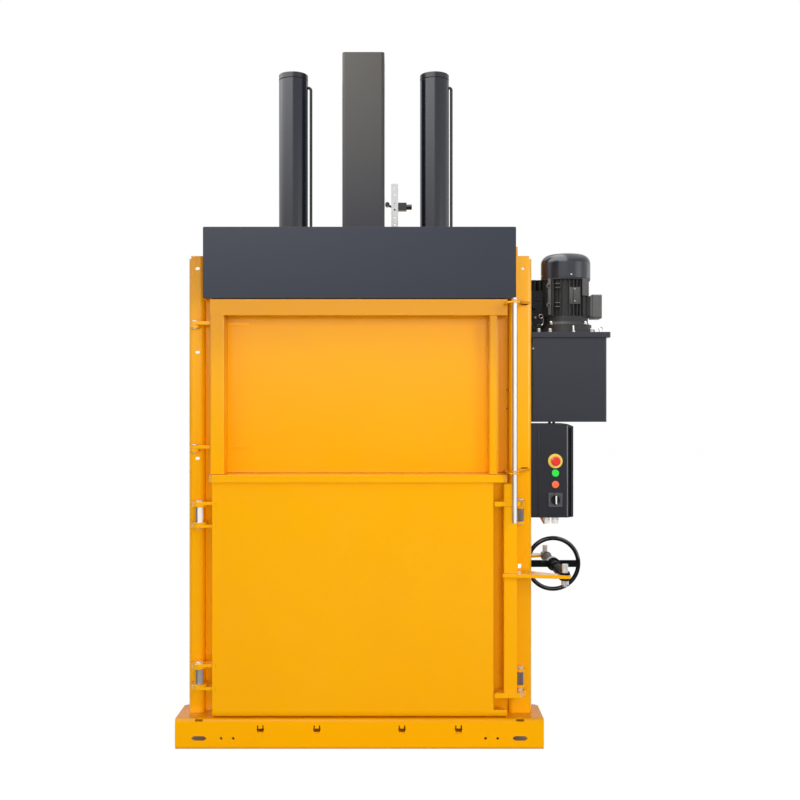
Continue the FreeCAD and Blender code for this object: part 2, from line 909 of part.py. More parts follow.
def make_switch():
    left, right = strip_x - strip_width / 2, strip_x + strip_width / 2
    strip = box(left, right, strip_y - strip_sheet, strip_y, crown_top, strip_top)
    for index in range(strip_hole_count):
        z = strip_top - strip_width / 2 - index * strip_hole_pitch
        strip = strip.cut(disc("y", strip_x, z, strip_y - strip_sheet, strip_y, strip_hole_radius))
    save("switch_strip", [strip])
    low, high = switch_z - switch_height / 2, switch_z + switch_height / 2
    back = strip_y + switch_depth
    body = box(left, left + switch_length + strip_width, strip_y, back, low, high)
    neck_x = left + switch_length + strip_width
    centre = strip_y + switch_depth / 2
    neck = disc("x", centre, switch_z, neck_x, neck_x + switch_neck, switch_neck_radius)
    arm_front = back + seat_gap
    arm_back = arm_front + lever_sheet
    boss = disc("y", strip_x, switch_z, back, arm_back, lever_pin)
    save("limit_switch", [union([body, neck, boss])])
    roller_x = guide_size / 2 + roller_radius + roller_gap
    roller_z = switch_z + lever_rise
    run = math.hypot(strip_x - roller_x, roller_z - switch_z)
    arm = box(0, run, arm_front, arm_back, -lever_width / 2, lever_width / 2)
    boss = disc("y", 0, 0, arm_front, arm_back, lever_boss)
    tip = disc("y", run, 0, arm_front, arm_back, lever_tip)
    slope = -math.degrees(math.atan2(roller_z - switch_z, roller_x - strip_x))
    arm = turned(union([arm, boss, tip]), slope, V(0, 0, 0), V(0, 1, 0))
    arm.translate(V(strip_x, 0, switch_z))
    arm = arm.cut(disc("y", strip_x, switch_z, arm_front, arm_back, lever_pin + running_fit))
    roller = disc("y", roller_x, roller_z, strip_y, arm_front, roller_radius)
    save("switch_lever", [union([arm, roller])])


def make_tank():
    x0, x1 = tank_x, tank_x + tank_length
    y0, y1 = tank_front_y, tank_front_y + tank_depth
    top = tank_bottom + tank_height
    t = tank_sheet
    corners = [(x0, y0), (x1, y0), (x1, y1), (x0, y1)]
    inner = [(x0 + t, y0 + t), (x1 - t, y0 + t), (x1 - t, y1 - t), (x0 + t, y1 - t)]
    shell = prism("z", corners, tank_bottom, top, t * 2).cut(prism("z", inner, tank_bottom + t, top, t))
    save("oil_tank", [shell])
    lid = lid_overhang
    rounds = [lid_inner_radius, lid_radius, lid_radius, lid_inner_radius]
    rim = [(x0, y0 - lid), (x1 + lid, y0 - lid), (x1 + lid, y1 + lid), (x0, y1 + lid)]
    save("tank_lid", [prism("z", rim, top, lid_top, rounds)])
    brackets = []
    half = post_width / 2
    for z in tank_bracket_zs:
        high = z + tank_bracket_height
        arm = [(rib_out, z), (tank_x, z), (tank_x, high), (rib_out, high)]
        brackets.append(folded("y", arm, -half, y1 - tank_bracket_inset, tank_sheet))
    save("tank_brackets", brackets)


def make_motor():
    base = lid_top
    bell_top = base + bell_height
    step_top = base + flange_height + step_height
    profile = [
        (0.0, base),
        (flange_radius, base),
        (flange_radius, base + flange_height),
        (step_radius, base + flange_height),
        (step_radius, step_top),
        (bell_radius + bell_step, step_top),
        (bell_radius, step_top + bell_slope),
        (bell_radius, bell_top),
        (0.0, bell_top),
    ]
    face = Part.Face(outline("y", profile, [0.0] * len(profile), 0.0))
    bell = face.revolve(V(0, 0, 0), V(0, 0, 1), 360)
    bell.translate(V(motor_x, motor_y, 0))
    save("motor_flange", [bell])
    fin_top = bell_top + fin_height
    pieces = [disc("z", 0, 0, bell_top, fin_top, core_radius)]
    for index in range(fin_count):
        fin = box(core_radius - fin_root, fin_radius, -fin_sheet / 2, fin_sheet / 2, bell_top, fin_top)
        pieces.append(turned(fin, 360.0 * index / fin_count, V(0, 0, 0), V(0, 0, 1)))
    shield = cowl_radius - shield_inset
    pieces.append(disc("z", 0, 0, fin_top, fin_top + shield_height, shield))
    reach = core_radius + lug_offset
    for index in range(lug_count):
        angle = 2 * math.pi * (index + 0.5) / lug_count
        x, y = reach * math.cos(angle), reach * math.sin(angle)
        pieces.append(disc("z", x, y, bell_top, fin_top, lug_radius))
    wide, tall = terminal_neck_width / 2, terminal_neck_height / 2
    x0, x1 = core_radius - fin_root, terminal_x - motor_x
    pieces.append(box(x0, x1, -wide, wide, terminal_z - tall, terminal_z + tall))
    body = union(pieces)
    body.translate(V(motor_x, motor_y, 0))
    save("motor_body", [body])
    low = fin_top + shield_height
    top = low + cowl_height
    outer = [(0.0, low), (cowl_radius, low), (cowl_radius, top), (0.0, top)]
    inside = cowl_radius - cowl_sheet
    inner = [(0.0, low), (inside, low), (inside, top - cowl_sheet), (0.0, top - cowl_sheet)]
    shells = []
    for points, radius in ((outer, cowl_round), (inner, cowl_round - cowl_sheet)):
        face = Part.Face(outline("y", points, [0.0, 0.0, radius, 0.0], 0.0))
        shells.append(face.revolve(V(0, 0, 0), V(0, 0, 1), 360))
    cowl = shells[0].cut(shells[1])
    half = cowl_slot_width / 2
    for index in range(cowl_slot_count):
        slot = box(cowl_slot_inner, cowl_slot_outer, -half, half, top - cowl_sheet, top)
        cowl = cowl.cut(turned(slot, 360.0 * index / cowl_slot_count, V(0, 0, 0), V(0, 0, 1)))
    cowl.translate(V(motor_x, motor_y, 0))
    save("fan_cover", [cowl])
    y0, y1 = motor_y - terminal_depth / 2, motor_y + terminal_depth / 2
    z0, z1 = terminal_z - terminal_height / 2, terminal_z + terminal_height / 2
    split = terminal_x + terminal_width - terminal_cover
    corners = [(y0, z0), (y1, z0), (y1, z1), (y0, z1)]
    y2, y3, z2, z3 = y0 + terminal_inset, y1 - terminal_inset, z0 + terminal_inset, z1 - terminal_inset
    small = [(y2, z2), (y3, z2), (y3, z3), (y2, z3)]
    case = prism("x", small, terminal_x, split, terminal_case_radius)
    cover = prism("x", corners, split, terminal_x + terminal_width, terminal_radius)
    save("terminal_box", [union([case, cover])])


def make_valve():
    x0, x1 = block_x - block_width / 2, block_x + block_width / 2
    y0, y1 = motor_y - block_depth / 2, motor_y + block_depth / 2
    top = lid_top + block_height
    block = prism("z", [(x0, y0), (x1, y0), (x1, y1), (x0, y1)], lid_top, top, block_radius)
    block = block.cut(box(x0 + block_foot, x1, y0, y1, lid_top, lid_top + block_foot_height))
    step = block_height / block_levels
    deep = block_groove_depth
    grooves = []
    for level in range(1, block_levels):
        low = lid_top + level * step - block_groove / 2
        high = low + block_groove
        frame = box(x0, x1, y0, y1, low, high)
        grooves.append(frame.cut(box(x0 + deep, x1 - deep, y0 + deep, y1 - deep, low, high)))
    block = block.cut(grooves)
    caps = []
    for side, level in zip((-1, 1), block_port_levels):
        x = block_x + side * block_width / 4
        caps.append(disc("z", x, motor_y - block_depth / 4, top, top + solenoid_height, solenoid_radius))
        port_z = lid_top + step * level
        caps.append(disc("y", x0 + block_foot / 2, port_z, y0 - port_length, y0, port_radius))
    save("valve_block", [union([block] + caps)])


def rounded_front(knob, radius):
    front = knob.BoundBox.YMin
    rim = [edge for edge in knob.Edges if edge.BoundBox.YMax < front + radius / 2]
    return knob.makeFillet(radius, rim)


def make_control_box():
    x0, x1 = column_x, column_x + box_face
    y0, y1 = box_front_y, box_front_y + box_depth
    top = box_bottom + box_height
    t = box_sheet
    shoulder = y0 + box_shoulder_depth
    points = [(x0, y0), (x1, y0), (box_right, shoulder), (box_right, y1), (x0, y1)]
    inner = [(x0 + t, y0 + t), (x1, y0 + t), (box_right - t, shoulder + t)]
    inner += [(box_right - t, y1 - t), (x0 + t, y1 - t)]
    case = prism("z", points, box_bottom, top, [0.0, box_bend, box_bend, 0.0, 0.0])
    case = case.cut(prism("z", inner, box_bottom + t, top - t))
    case = case.cut(prism("y", [(x1, top), (box_right, top - box_shoulder_drop), (box_right, top)], y0, y1))
    cutters = [disc("y", controls_x, stop_z, y0, y0 + t, button_stem + running_fit)]
    for z in button_zs:
        cutters.append(disc("y", controls_x, z, y0, y0 + t, button_stem + running_fit))
    cutters.append(disc("y", controls_x, selector_z, y0, y0 + t, button_stem + running_fit))
    for x in gland_xs:
        cutters.append(disc("z", x, gland_y, box_bottom, box_bottom + t, gland_bore))
    save("control_box", [case.cut(cutters)])
    fittings = []
    for x in gland_xs:
        turns = [math.radians(60 * k) for k in range(6)]
        hexagon = [(x + gland_radius * math.cos(a), gland_y + gland_radius * math.sin(a)) for a in turns]
        nut = prism("z", hexagon, box_bottom - gland_nut, box_bottom)
        stem = disc("z", x, gland_y, box_bottom - gland_drop, box_bottom, gland_stem_radius)
        fittings.append(union([nut, stem]))
    for x in conduit_xs:
        fittings.append(disc("z", x, conduit_y, top, tank_bottom, conduit_radius))
    save("cable_fittings", fittings)
    collar = y0 - stop_collar_height
    bore = button_stem + running_fit
    save("stop_collar", [ring("y", controls_x, stop_z, collar, y0, stop_collar_radius, bore)])
    head_back = collar - stop_travel - stop_rest_gap
    stem = disc("y", controls_x, stop_z, head_back, y0 + stem_length, button_stem)
    head = disc("y", controls_x, stop_z, head_back - stop_head_height, head_back, stop_head_radius)
    save("stop_button", [union([stem, rounded_front(head, stop_head_round)])])
    for name, z in zip(("start_button", "reset_button"), button_zs):
        gap = button_travel + button_rest_gap
        stem = disc("y", controls_x, z, y0 - gap, y0 + stem_length, button_stem)
        cap = disc("y", controls_x, z, y0 - gap - button_height, y0 - gap, button_radius)
        save(name, [union([stem, rounded_front(cap, button_round)])])
    half, hole = selector_size / 2, selector_window / 2
    x, z = controls_x, selector_z
    corners = [(x - half, z - half), (x + half, z - half), (x + half, z + half), (x - half, z + half)]
    window = [(x - hole, z - hole), (x + hole, z - hole), (x + hole, z + hole), (x - hole, z + hole)]
    bezel = prism("y", corners, y0 - selector_height, y0, selector_round)
    floor = y0 - selector_floor
    bezel = bezel.cut(prism("y", window, y0 - selector_height, floor, selector_window_round))
    bezel = bezel.cut(disc("y", x, z, floor, y0, button_stem + running_fit))
    save("selector_bezel", [bezel])
    back = floor - seat_gap
    face = back - knob_dial
    front = face - knob_grip_height
    dial = disc("y", x, z, face, back, knob_radius)
    grip = box(x - knob_grip / 2, x + knob_grip / 2, front, face, z - knob_radius, z + knob_radius)
    grip = grip.common(disc("y", x, z, front, face, knob_radius))
    stem = disc("y", x, z, back, y0 + stem_length, button_stem)
    save("selector_knob", [union([dial, grip, stem])])


def make_upper_door():
    low, high = upper_bottom, upper_top
    skin = door_face_y
    save("upper_door_panel", [box(upper_left, upper_right, skin, door_back_y, low, high)])
    t = tube_sheet
    rail_low = high - rail_height
    rail = box(upper_left, rail_end_x, upper_front_y, skin, rail_low, high)
    rail = rail.cut(box(upper_left + t, rail_end_x - t, upper_front_y + t, skin, rail_low + t, high - t))
    stile_edge = upper_left + stile_width
    path = [(upper_left, skin), (upper_left, upper_front_y), (stile_edge, upper_front_y), (stile_edge, skin)]
    left = folded("z", path, low, rail_low, t, stile_bend)
    right_edge = stile_right_x + stile_right_width
    front = upper_front_y + stile_right_inset
    path = [(stile_right_x, skin), (stile_right_x, front), (right_edge, front), (right_edge, skin)]
    right = folded("z", path, low, rail_low, t, stile_right_bend)
    save("upper_door_frame", [rail, left, right])
    leaves = []
    half = upper_leaf_width / 2
    for z in upper_hinge_zs:
        z0, z1 = z - upper_leaf / 2, z + upper_leaf / 2
        leaves.append(
            eye_plate(
                upper_axis_x, upper_axis_y, half, upper_axis_x, upper_left, upper_axis_y - half,
                upper_axis_y + half, z0, z1, upper_pin + running_fit,
            )
        )
        bar_end = upper_left + stile_width + strap_bar_length
        leaves.append(box(stile_edge, bar_end, skin - strap_bar_sheet, skin, z0, z1))
    save("upper_hinge_leaves", leaves)
    hooks = []
    for z, root_y, root_x in zip(hook_zs, (upper_front_y, skin), (rail_end_x, upper_right)):
        z1 = z + guide_plate
        slot = bolt_radius + hook_gap
        left_x = root_x - hook_root
        points = [(left_x, root_y), (root_x, root_y), (root_x, bolt_y + slot), (bolt_x, bolt_y + slot)]
        points += [(bolt_x, bolt_y - slot), (root_x - hook_nose, bolt_y - slot)]
        points.append((left_x, bolt_y + hook_slope))
        hook = prism("z", points, z, z1)
        hook = union([hook, disc("z", bolt_x, bolt_y, z, z1, hook_radius)])
        mouth = box(bolt_x - slot, bolt_x + hook_radius, bolt_y, bolt_y + hook_radius * 2, z, z1)
        hook = hook.cut([disc("z", bolt_x, bolt_y, z, z1, slot), mouth])
        hooks.append(hook)
    save("rod_hooks", hooks)


def make_lower_door():
    low, top = lower_bottom, lower_top + beam_rail_height
    t = door_sheet
    path = [(door_face_y, low), (lower_front_y, low), (lower_front_y, top)]
    skin = folded("x", path, lower_left, lower_right, -t, lower_bend)
    outer = path + [(door_face_y, top)]
    radii = [0.0, lower_bend + t, 0.0, 0.0]
    pieces = [skin]
    for x0, x1 in ((lower_left, lower_left + t), (lower_right - t, lower_right)):
        pieces.append(prism("x", outer, x0, x1, radii))
    path[-1] = (lower_front_y, low + lower_lip)
    pieces.append(folded("x", path, lower_right, beam_rail_right, -t, lower_bend))
    save("lower_door_skin", [union(pieces)])
    save("lower_door_back", [box(lower_left, lower_right, door_face_y, door_back_y, low, top)])
    half = leaf_width / 2
    rail_front, rail_back = beam_rail_front_y, lower_front_y
    left, right = beam_rail_left, beam_rail_right
    points = [(left, rail_back), (left, rail_front + beam_rail_cut), (left + beam_rail_cut, rail_front)]
    points += [(right - beam_rail_cut, rail_front), (right, rail_front + beam_rail_cut), (right, rail_back)]
    rail = prism("z", points, lower_top, top + beam_rail_cover)
    cover = box(left, right, rail_back, door_face_y, top, top + beam_rail_cover)
    end = box(lower_right, right, rail_back, door_face_y, lower_top, top)
    save("lower_door_rail", [union([rail, end, cover])])
    leaves = []
    for z in lower_hinge_zs:
        for z0 in (z + lug_gap / 2, z - lug_gap / 2 - lug_sheet):
            leaves.append(
                eye_plate(
                    lower_axis_x, lower_axis_y, hinge_eye, lower_axis_x, lower_left, lower_axis_y - half,
                    lower_axis_y + half, z0, z0 + lug_sheet, pin_radius + running_fit,
                )
            )
    save("lower_hinge_leaves", leaves)


def make_lugs_and_pins():
    lugs, pins = [], []
    for z in lower_hinge_zs:
        bush_low, bush_high = z - bush_length / 2, z + bush_length / 2
        plate = lug_gap / 2 - bush_length / 2 - seat_gap
        for z0 in (bush_high, bush_low - plate):
            lugs.append(
                eye_plate(
                    lower_axis_x, lower_axis_y, hinge_eye, lower_axis_x - hinge_eye,
                    lower_axis_x + hinge_eye - lug_trim, lower_axis_y, column_front_y, z0, z0 + plate,
                    pin_radius + running_fit,
                )
            )
        lugs.append(
            ring("z", lower_axis_x, lower_axis_y, bush_low, bush_high, bush_radius, pin_radius + running_fit)
        )
        low = z - lug_gap / 2 - lug_sheet - pin_head
        high = z + lug_gap / 2 + lug_sheet
        pin = disc("z", lower_axis_x, lower_axis_y, low, high, pin_radius)
        head = disc("z", lower_axis_x, lower_axis_y, high, high + pin_head, pin_radius + pin_head_lip)
        pins.append(union([pin, head]))
    for z in upper_hinge_zs:
        top = z - upper_leaf / 2 - seat_gap
        lugs.append(
            eye_plate(
                upper_axis_x, upper_axis_y, upper_leaf_width / 2, upper_axis_x - upper_lug_width / 2,
                upper_axis_x + upper_lug_width / 2, upper_axis_y, column_front_y, top - upper_lug, top,
                upper_pin + running_fit,
            )
        )
        head_z = z + upper_leaf / 2 + upper_pin_rise
        pin = disc("z", upper_axis_x, upper_axis_y, top - upper_lug - upper_pin_tail, head_z, upper_pin)
        lip = upper_pin + pin_head_lip
        head = disc("z", upper_axis_x, upper_axis_y, head_z, head_z + upper_pin_head, lip)
        pins.append(union([pin, head]))
    for z, side, offset in zip(lock_pivot_zs, (1, -1), ear_offsets):
        half = lock_bush / 2 + seat_gap
        for z0 in (z + half, z - half - lug_sheet):
            lugs.append(
                eye_plate(
                    lock_x, lock_y, lock_eye, lock_x - lock_eye + lock_lug_trim, lock_x + eye_radius, lock_y,
                    column_front_y, z0, z0 + lug_sheet, pin_radius + running_fit,
                )
            )
        reach = half + lug_sheet + seat_gap + offset + ear_sheet + lock_pin_rise
        tail = half + lug_sheet + lock_pin_tail
        low, high = (z - tail, z + reach) if side > 0 else (z - reach, z + tail)
        pin = disc("z", lock_x, lock_y, low, high, pin_radius)
        head = disc("z", lock_x, lock_y, high, high + pin_head, pin_radius + pin_head_lip)
        pins.append(union([pin, head]))
    rear_top = lever_z + link_plate / 2 + fork_gap + fork_tine
    rear_low = lever_z - link_plate / 2 - fork_gap - fork_tine
    head_z = rear_top + rear_pin_rise
    head_radius = lever_pin_radius + rear_pin_head_lip
    pin = disc("z", lever_end_x, link_y, rear_low - rear_pin_tail, head_z, lever_pin_radius)
    head = disc("z", lever_end_x, link_y, head_z, head_z + rear_pin_head, head_radius)
    pins.append(union([pin, head]))
    save("hinge_lugs", lugs)
    save("hinge_pins", pins)


def make_lock():
    beam_back = lock_beam_front_y + lock_beam_depth
    t = lock_beam_sheet
    left, right, low, high = lock_beam_left, lock_beam_right, lock_beam_bottom, lock_beam_top
    outer = box(left, right, lock_beam_front_y, beam_back, low, high)
    inner = box(left + t, right - t, lock_beam_front_y + t, beam_back - t, low, high)
    save("lock_beam", [outer.cut(inner)])
    ears, bushes = [], []
    for z, side, offset in zip(lock_pivot_zs, (1, -1), ear_offsets):
        half = lock_bush / 2 + seat_gap + lug_sheet + seat_gap + offset
        z0 = z + half if side > 0 else z - half - ear_sheet
        z1 = z0 + ear_sheet
        points = [(ear_left, ear_front_y), (lock_x - ear_taper, ear_front_y), (lock_x + eye_radius, lock_y)]
        points += [(lock_x, lock_y + eye_radius), (lock_beam_left, lock_y + eye_radius)]
        points += [(ear_left, lock_beam_front_y)]
        ear = union([prism("z", points, z0, z1), disc("z", lock_x, lock_y, z0, z1, eye_radius)])
        ear = ear.cut([outer, disc("z", lock_x, lock_y, z0, z1, pin_radius + running_fit)])
        ears.append(ear)
        low, high = z - lock_bush / 2, z + lock_bush / 2
        outer_radius = lock_x - lock_beam_right
        bushes.append(ring("z", lock_x, lock_y, low, high, outer_radius, pin_radius + running_fit))
    save("lock_ears", ears)
    save("lock_bushes", bushes)
    z0, z1 = lever_z - lever_plate / 2, lever_z + lever_plate / 2
    touch_x, touch_y = lever_eye * math.cos(lever_tangent), lever_eye * math.sin(lever_tangent)
    points = [
        (lock_beam_left - lever_lap, lock_beam_front_y - lever_front_lap),
        (lock_beam_right + lever_front_run, lock_beam_front_y - lever_front),
        (lever_end_x, lever_end_y - lever_eye),
        (lever_end_x - touch_x, lever_end_y + touch_y),
        (lock_beam_right + lever_back_run, column_front_y - lever_back - lever_back_rise),
        (lock_beam_right, column_front_y - lever_back),
        (lock_beam_left - lever_lap, lock_beam_front_y),
    ]
    lever = union([prism("z", points, z0, z1), disc("z", lever_end_x, lever_end_y, z0, z1, lever_eye)])
    bore = disc("z", lever_end_x, lever_end_y, z0, z1, lever_pin_radius + open_pivot_gap)
    save("lock_lever", [lever.cut([outer, bore])])


def make_fork(y_pin, sign, plate, body_end):
    # Two tines over a plate, joined to a round body on the link's axis
    half = fork_width / 2
    inner = plate / 2 + fork_gap
    outer = inner + fork_tine
    root = y_pin + sign * fork_reach
    heel = root + sign * fork_heel
    pieces = []
    for z0, z1 in ((lever_z + inner, lever_z + outer), (lever_z - outer, lever_z - inner)):
        y0, y1 = min(y_pin, heel), max(y_pin, heel)
        pieces.append(box(lever_end_x - half, lever_end_x + half, y0, y1, z0, z1))
        pieces.append(disc("z", lever_end_x, y_pin, z0, z1, half))
    y0, y1 = min(root, heel), max(root, heel)
    pieces.append(box(lever_end_x - half, lever_end_x + half, y0, y1, lever_z - outer, lever_z + outer))
    y0, y1 = min(root, body_end), max(root, body_end)
    pieces.append(disc("y", lever_end_x, lever_z, y0, y1, fork_body_radius))
    return union(pieces)


def make_turnbuckle():
    plate_low, plate_high = lever_z - link_plate / 2, lever_z + link_plate / 2
    root = post_width / 2 - link_root_inset
    points = [
        (rib_out, -root),
        (lever_end_x, link_y - link_eye),
        (lever_end_x, link_y + link_eye),
        (lever_end_x - link_shoulder, link_y + link_eye + link_shoulder_rise),
        (rib_out, root),
    ]
    bracket = prism("z", points, plate_low, plate_high)
    bracket = union([bracket, disc("z", lever_end_x, link_y, plate_low, plate_high, link_eye)])
    bore = disc("z", lever_end_x, link_y, plate_low, plate_high, lever_pin_radius + running_fit)
    save("link_bracket", [bracket.cut(bore)])
    rear_end = link_y - fork_reach - fork_tail
    rear = make_fork(link_y, -1, link_plate, rear_end)
    journal = disc("y", lever_end_x, lever_z, rear_end - journal_length, rear_end, journal_radius)
    low, high = lever_z - fork_body_radius, lever_z + fork_body_radius
    bore = disc("z", lever_end_x, link_y, low, high, lever_pin_radius + running_fit)
    save("link_fork", [union([rear, journal]).cut(bore)])
    tube_back = rear_end - seat_gap
    hub_front, hub_back = wheel_y - hub_length / 2, wheel_y + hub_length / 2
    tube_front = wheel_y - tube_front_run
    tube = disc("y", lever_end_x, lever_z, tube_front, tube_back, tube_radius)
    seat = tube_back - journal_length - seat_gap
    bore = disc("y", lever_end_x, lever_z, seat, tube_back, journal_radius + running_fit)
    shaft = disc("y", lever_end_x, lever_z, tube_front, seat - tube_web, spindle_radius + running_fit)
    save("link_tube", [tube.cut([bore, shaft])])
    hub = disc("y", lever_end_x, lever_z, hub_front, hub_back, hub_radius)
    hole = disc("y", lever_end_x, lever_z, hub_front, hub_back, tube_radius)
    rim = Part.makeTorus(wheel_radius - wheel_rim, wheel_rim, V(lever_end_x, wheel_y, lever_z), V(0, 1, 0))
    reach = wheel_radius - wheel_rim
    spoke = box(
        lever_end_x - reach,
        lever_end_x + reach,
        wheel_y - spoke_sheet / 2,
        wheel_y + spoke_sheet / 2,
        lever_z - spoke_height / 2,
        lever_z + spoke_height / 2,
    )
    save("handwheel", [union([hub, rim, spoke]).cut(hole)])
    body_end = lever_end_y + front_fork_length
    front = make_fork(lever_end_y, 1, lever_plate, body_end)
    spindle = disc("y", lever_end_x, lever_z, body_end, body_end + spindle_length, spindle_radius)
    top = lever_z + lever_plate / 2 + fork_gap + fork_tine
    low = lever_z - lever_plate / 2 - fork_gap - fork_tine
    x, y = lever_end_x, lever_end_y
    pin = disc("z", x, y, low - front_nut - front_pin_tail, top, lever_pin_radius)
    head = disc("z", x, y, top, top + front_pin_head, lever_pin_radius + front_pin_head_lip)
    nut = disc("z", x, y, low - front_nut, low, lever_pin_radius + front_nut_lip)
    save("link_spindle", [union([front, spindle, pin, head, nut])])


def make_bolt_rod():
    top = guide_zs[0] + guide_plate + seat_gap
    rod = disc("z", bolt_x, bolt_y, bolt_bottom, top, bolt_radius)
    head = disc("z", bolt_x, bolt_y, top, top + bolt_head_height, bolt_head_radius)
    low = guide_zs[1] + guide_plate + seat_gap
    outer = bolt_radius + bolt_collar_lip
    collar = ring("z", bolt_x, bolt_y, low, low + bolt_collar_height, outer, bolt_radius + running_fit)
    save("locking_rod", [rod, head, collar])
    x0 = guide_slot_x - guide_slot_width / 2 + guide_tang_gap
    x1 = guide_slot_x + guide_slot_width / 2 - guide_tang_gap
    front, back = column_front_y, column_front_y + column_sheet
    points = [
        (bolt_x, bolt_y - guide_eye_radius),
        (bolt_x + guide_nose, bolt_y - guide_eye_radius + guide_nose_taper),
        (x1 + guide_shoulder, bolt_y + guide_outer_drop),
        (x1 + guide_shoulder, front),
        (x1, front),
        (x1, back),
        (x0, back),
        (x0, front),
        (x0 - guide_shoulder, front),
        (x0 - guide_shoulder, bolt_y + guide_inner_drop),
        (bolt_x, bolt_y + guide_eye_radius),
    ]
    guides = []
    for z in guide_zs:
        z1 = z + guide_plate
        plate = union([prism("z", points, z, z1), disc("z", bolt_x, bolt_y, z, z1, guide_eye_radius)])
        guides.append(plate.cut(disc("z", bolt_x, bolt_y, z, z1, bolt_radius + running_fit)))
    save("rod_guides", guides)


os.makedirs("parts", exist_ok=True)
make_base()
make_floor()
make_walls()
make_columns()
make_crown()
make_header()
make_platen()
make_cylinders()
make_switch()
make_tank()
make_motor()
make_valve()
make_control_box()
make_upper_door()
make_lower_door()
make_lugs_and_pins()
make_lock()
make_turnbuckle()
make_bolt_rod()
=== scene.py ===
import math

import bmesh
import bpy
from mathutils import Matrix, Vector


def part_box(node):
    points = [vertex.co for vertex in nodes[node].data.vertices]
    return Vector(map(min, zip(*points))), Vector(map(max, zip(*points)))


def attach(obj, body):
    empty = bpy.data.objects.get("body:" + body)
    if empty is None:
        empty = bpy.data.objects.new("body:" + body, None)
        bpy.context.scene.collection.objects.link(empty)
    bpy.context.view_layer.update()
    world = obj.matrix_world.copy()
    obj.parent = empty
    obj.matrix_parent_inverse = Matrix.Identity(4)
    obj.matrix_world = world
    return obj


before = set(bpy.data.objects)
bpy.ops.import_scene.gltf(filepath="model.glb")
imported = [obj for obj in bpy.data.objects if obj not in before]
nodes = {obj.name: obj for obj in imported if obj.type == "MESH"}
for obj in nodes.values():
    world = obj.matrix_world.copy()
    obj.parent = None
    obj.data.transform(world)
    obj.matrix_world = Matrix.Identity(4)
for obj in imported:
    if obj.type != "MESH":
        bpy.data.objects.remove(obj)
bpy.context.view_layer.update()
scene = bpy.context.scene
print("frame loaded,", len(nodes), "nodes")

# the camera stands at the height and distance of the photograph's
lookFrom = {"place": (0.165, -4.722, 1.4216), "lens": 46.35, "sensor": 36.0}


def placeCamera():
    lens = bpy.data.cameras.new("camera")
    lens.lens = lookFrom["lens"]
    lens.sensor_width = lookFrom["sensor"]
    camera = bpy.data.objects.new("camera", lens)
    camera.location = lookFrom["place"]
    camera.rotation_euler = (math.radians(90), 0, 0)
    scene.collection.objects.link(camera)
    scene.camera = camera


placeCamera()
print("camera placed")


class Wire:
    # an output socket that can be used in sums
    def __init__(self, tree, socket):
        self.tree = tree
        self.socket = socket

    def sum(self, operation, first, second):
        return self.tree.node("ShaderNodeMath", {"operation": operation}, {0: first, 1: second})

    def __add__(self, other):
        return self.sum("ADD", self, other)

    def __radd__(self, other):
        return self.sum("ADD", other, self)

    def __sub__(self, other):
        return self.sum("SUBTRACT", self, other)

    def __rsub__(self, other):
        return self.sum("SUBTRACT", other, self)

    def __mul__(self, other):
        return self.sum("MULTIPLY", self, other)

    def __rmul__(self, other):
        return self.sum("MULTIPLY", other, self)

    def atLeast(self, other):
        return self.sum("MAXIMUM", self, other)

    def under(self, other):
        return self.sum("LESS_THAN", self, other)


class Tree:
    # a shader or geometry node tree; node() makes any node
    def __init__(self, tree):
        self.tree = tree
        tree.nodes.clear()

    def node(self, kind, settings, sockets, output=0):
        made = self.tree.nodes.new(kind)
        for key, value in settings.items():
            setattr(made, key, value)
        for key, value in sockets.items():
            for part in value if isinstance(value, list) else [value]:
                if isinstance(part, Wire):
                    self.tree.links.new(part.socket, made.inputs[key])
                else:
                    made.inputs[key].default_value = part
        return Wire(self, made.outputs[output]) if len(made.outputs) else None

    def noise(self, place, scale, detail=3.0, rough=0.5):
        sockets = {"Vector": place, "Scale": scale, "Detail": detail, "Roughness": rough}
        return self.node("ShaderNodeTexNoise", {}, sockets)

    def spread(self, value, low, high, toLow=0.0, toHigh=1.0):
        sockets = {0: value, 1: low, 2: high, 3: toLow, 4: toHigh}
        return self.node("ShaderNodeMapRange", {"interpolation_type": "SMOOTHSTEP"}, sockets)

    def colour(self, factor, first, second):
        sockets = {0: factor, 6: first, 7: second}
        return self.node("ShaderNodeMix", {"data_type": "RGBA"}, sockets, 2)

    def along(self, place, axis):
        # one coordinate of a place
        return self.node("ShaderNodeSeparateXYZ", {}, {0: place}, axis)

    def stretched(self, place, scale):
        return self.node("ShaderNodeMapping", {}, {"Vector": place, "Scale": scale})


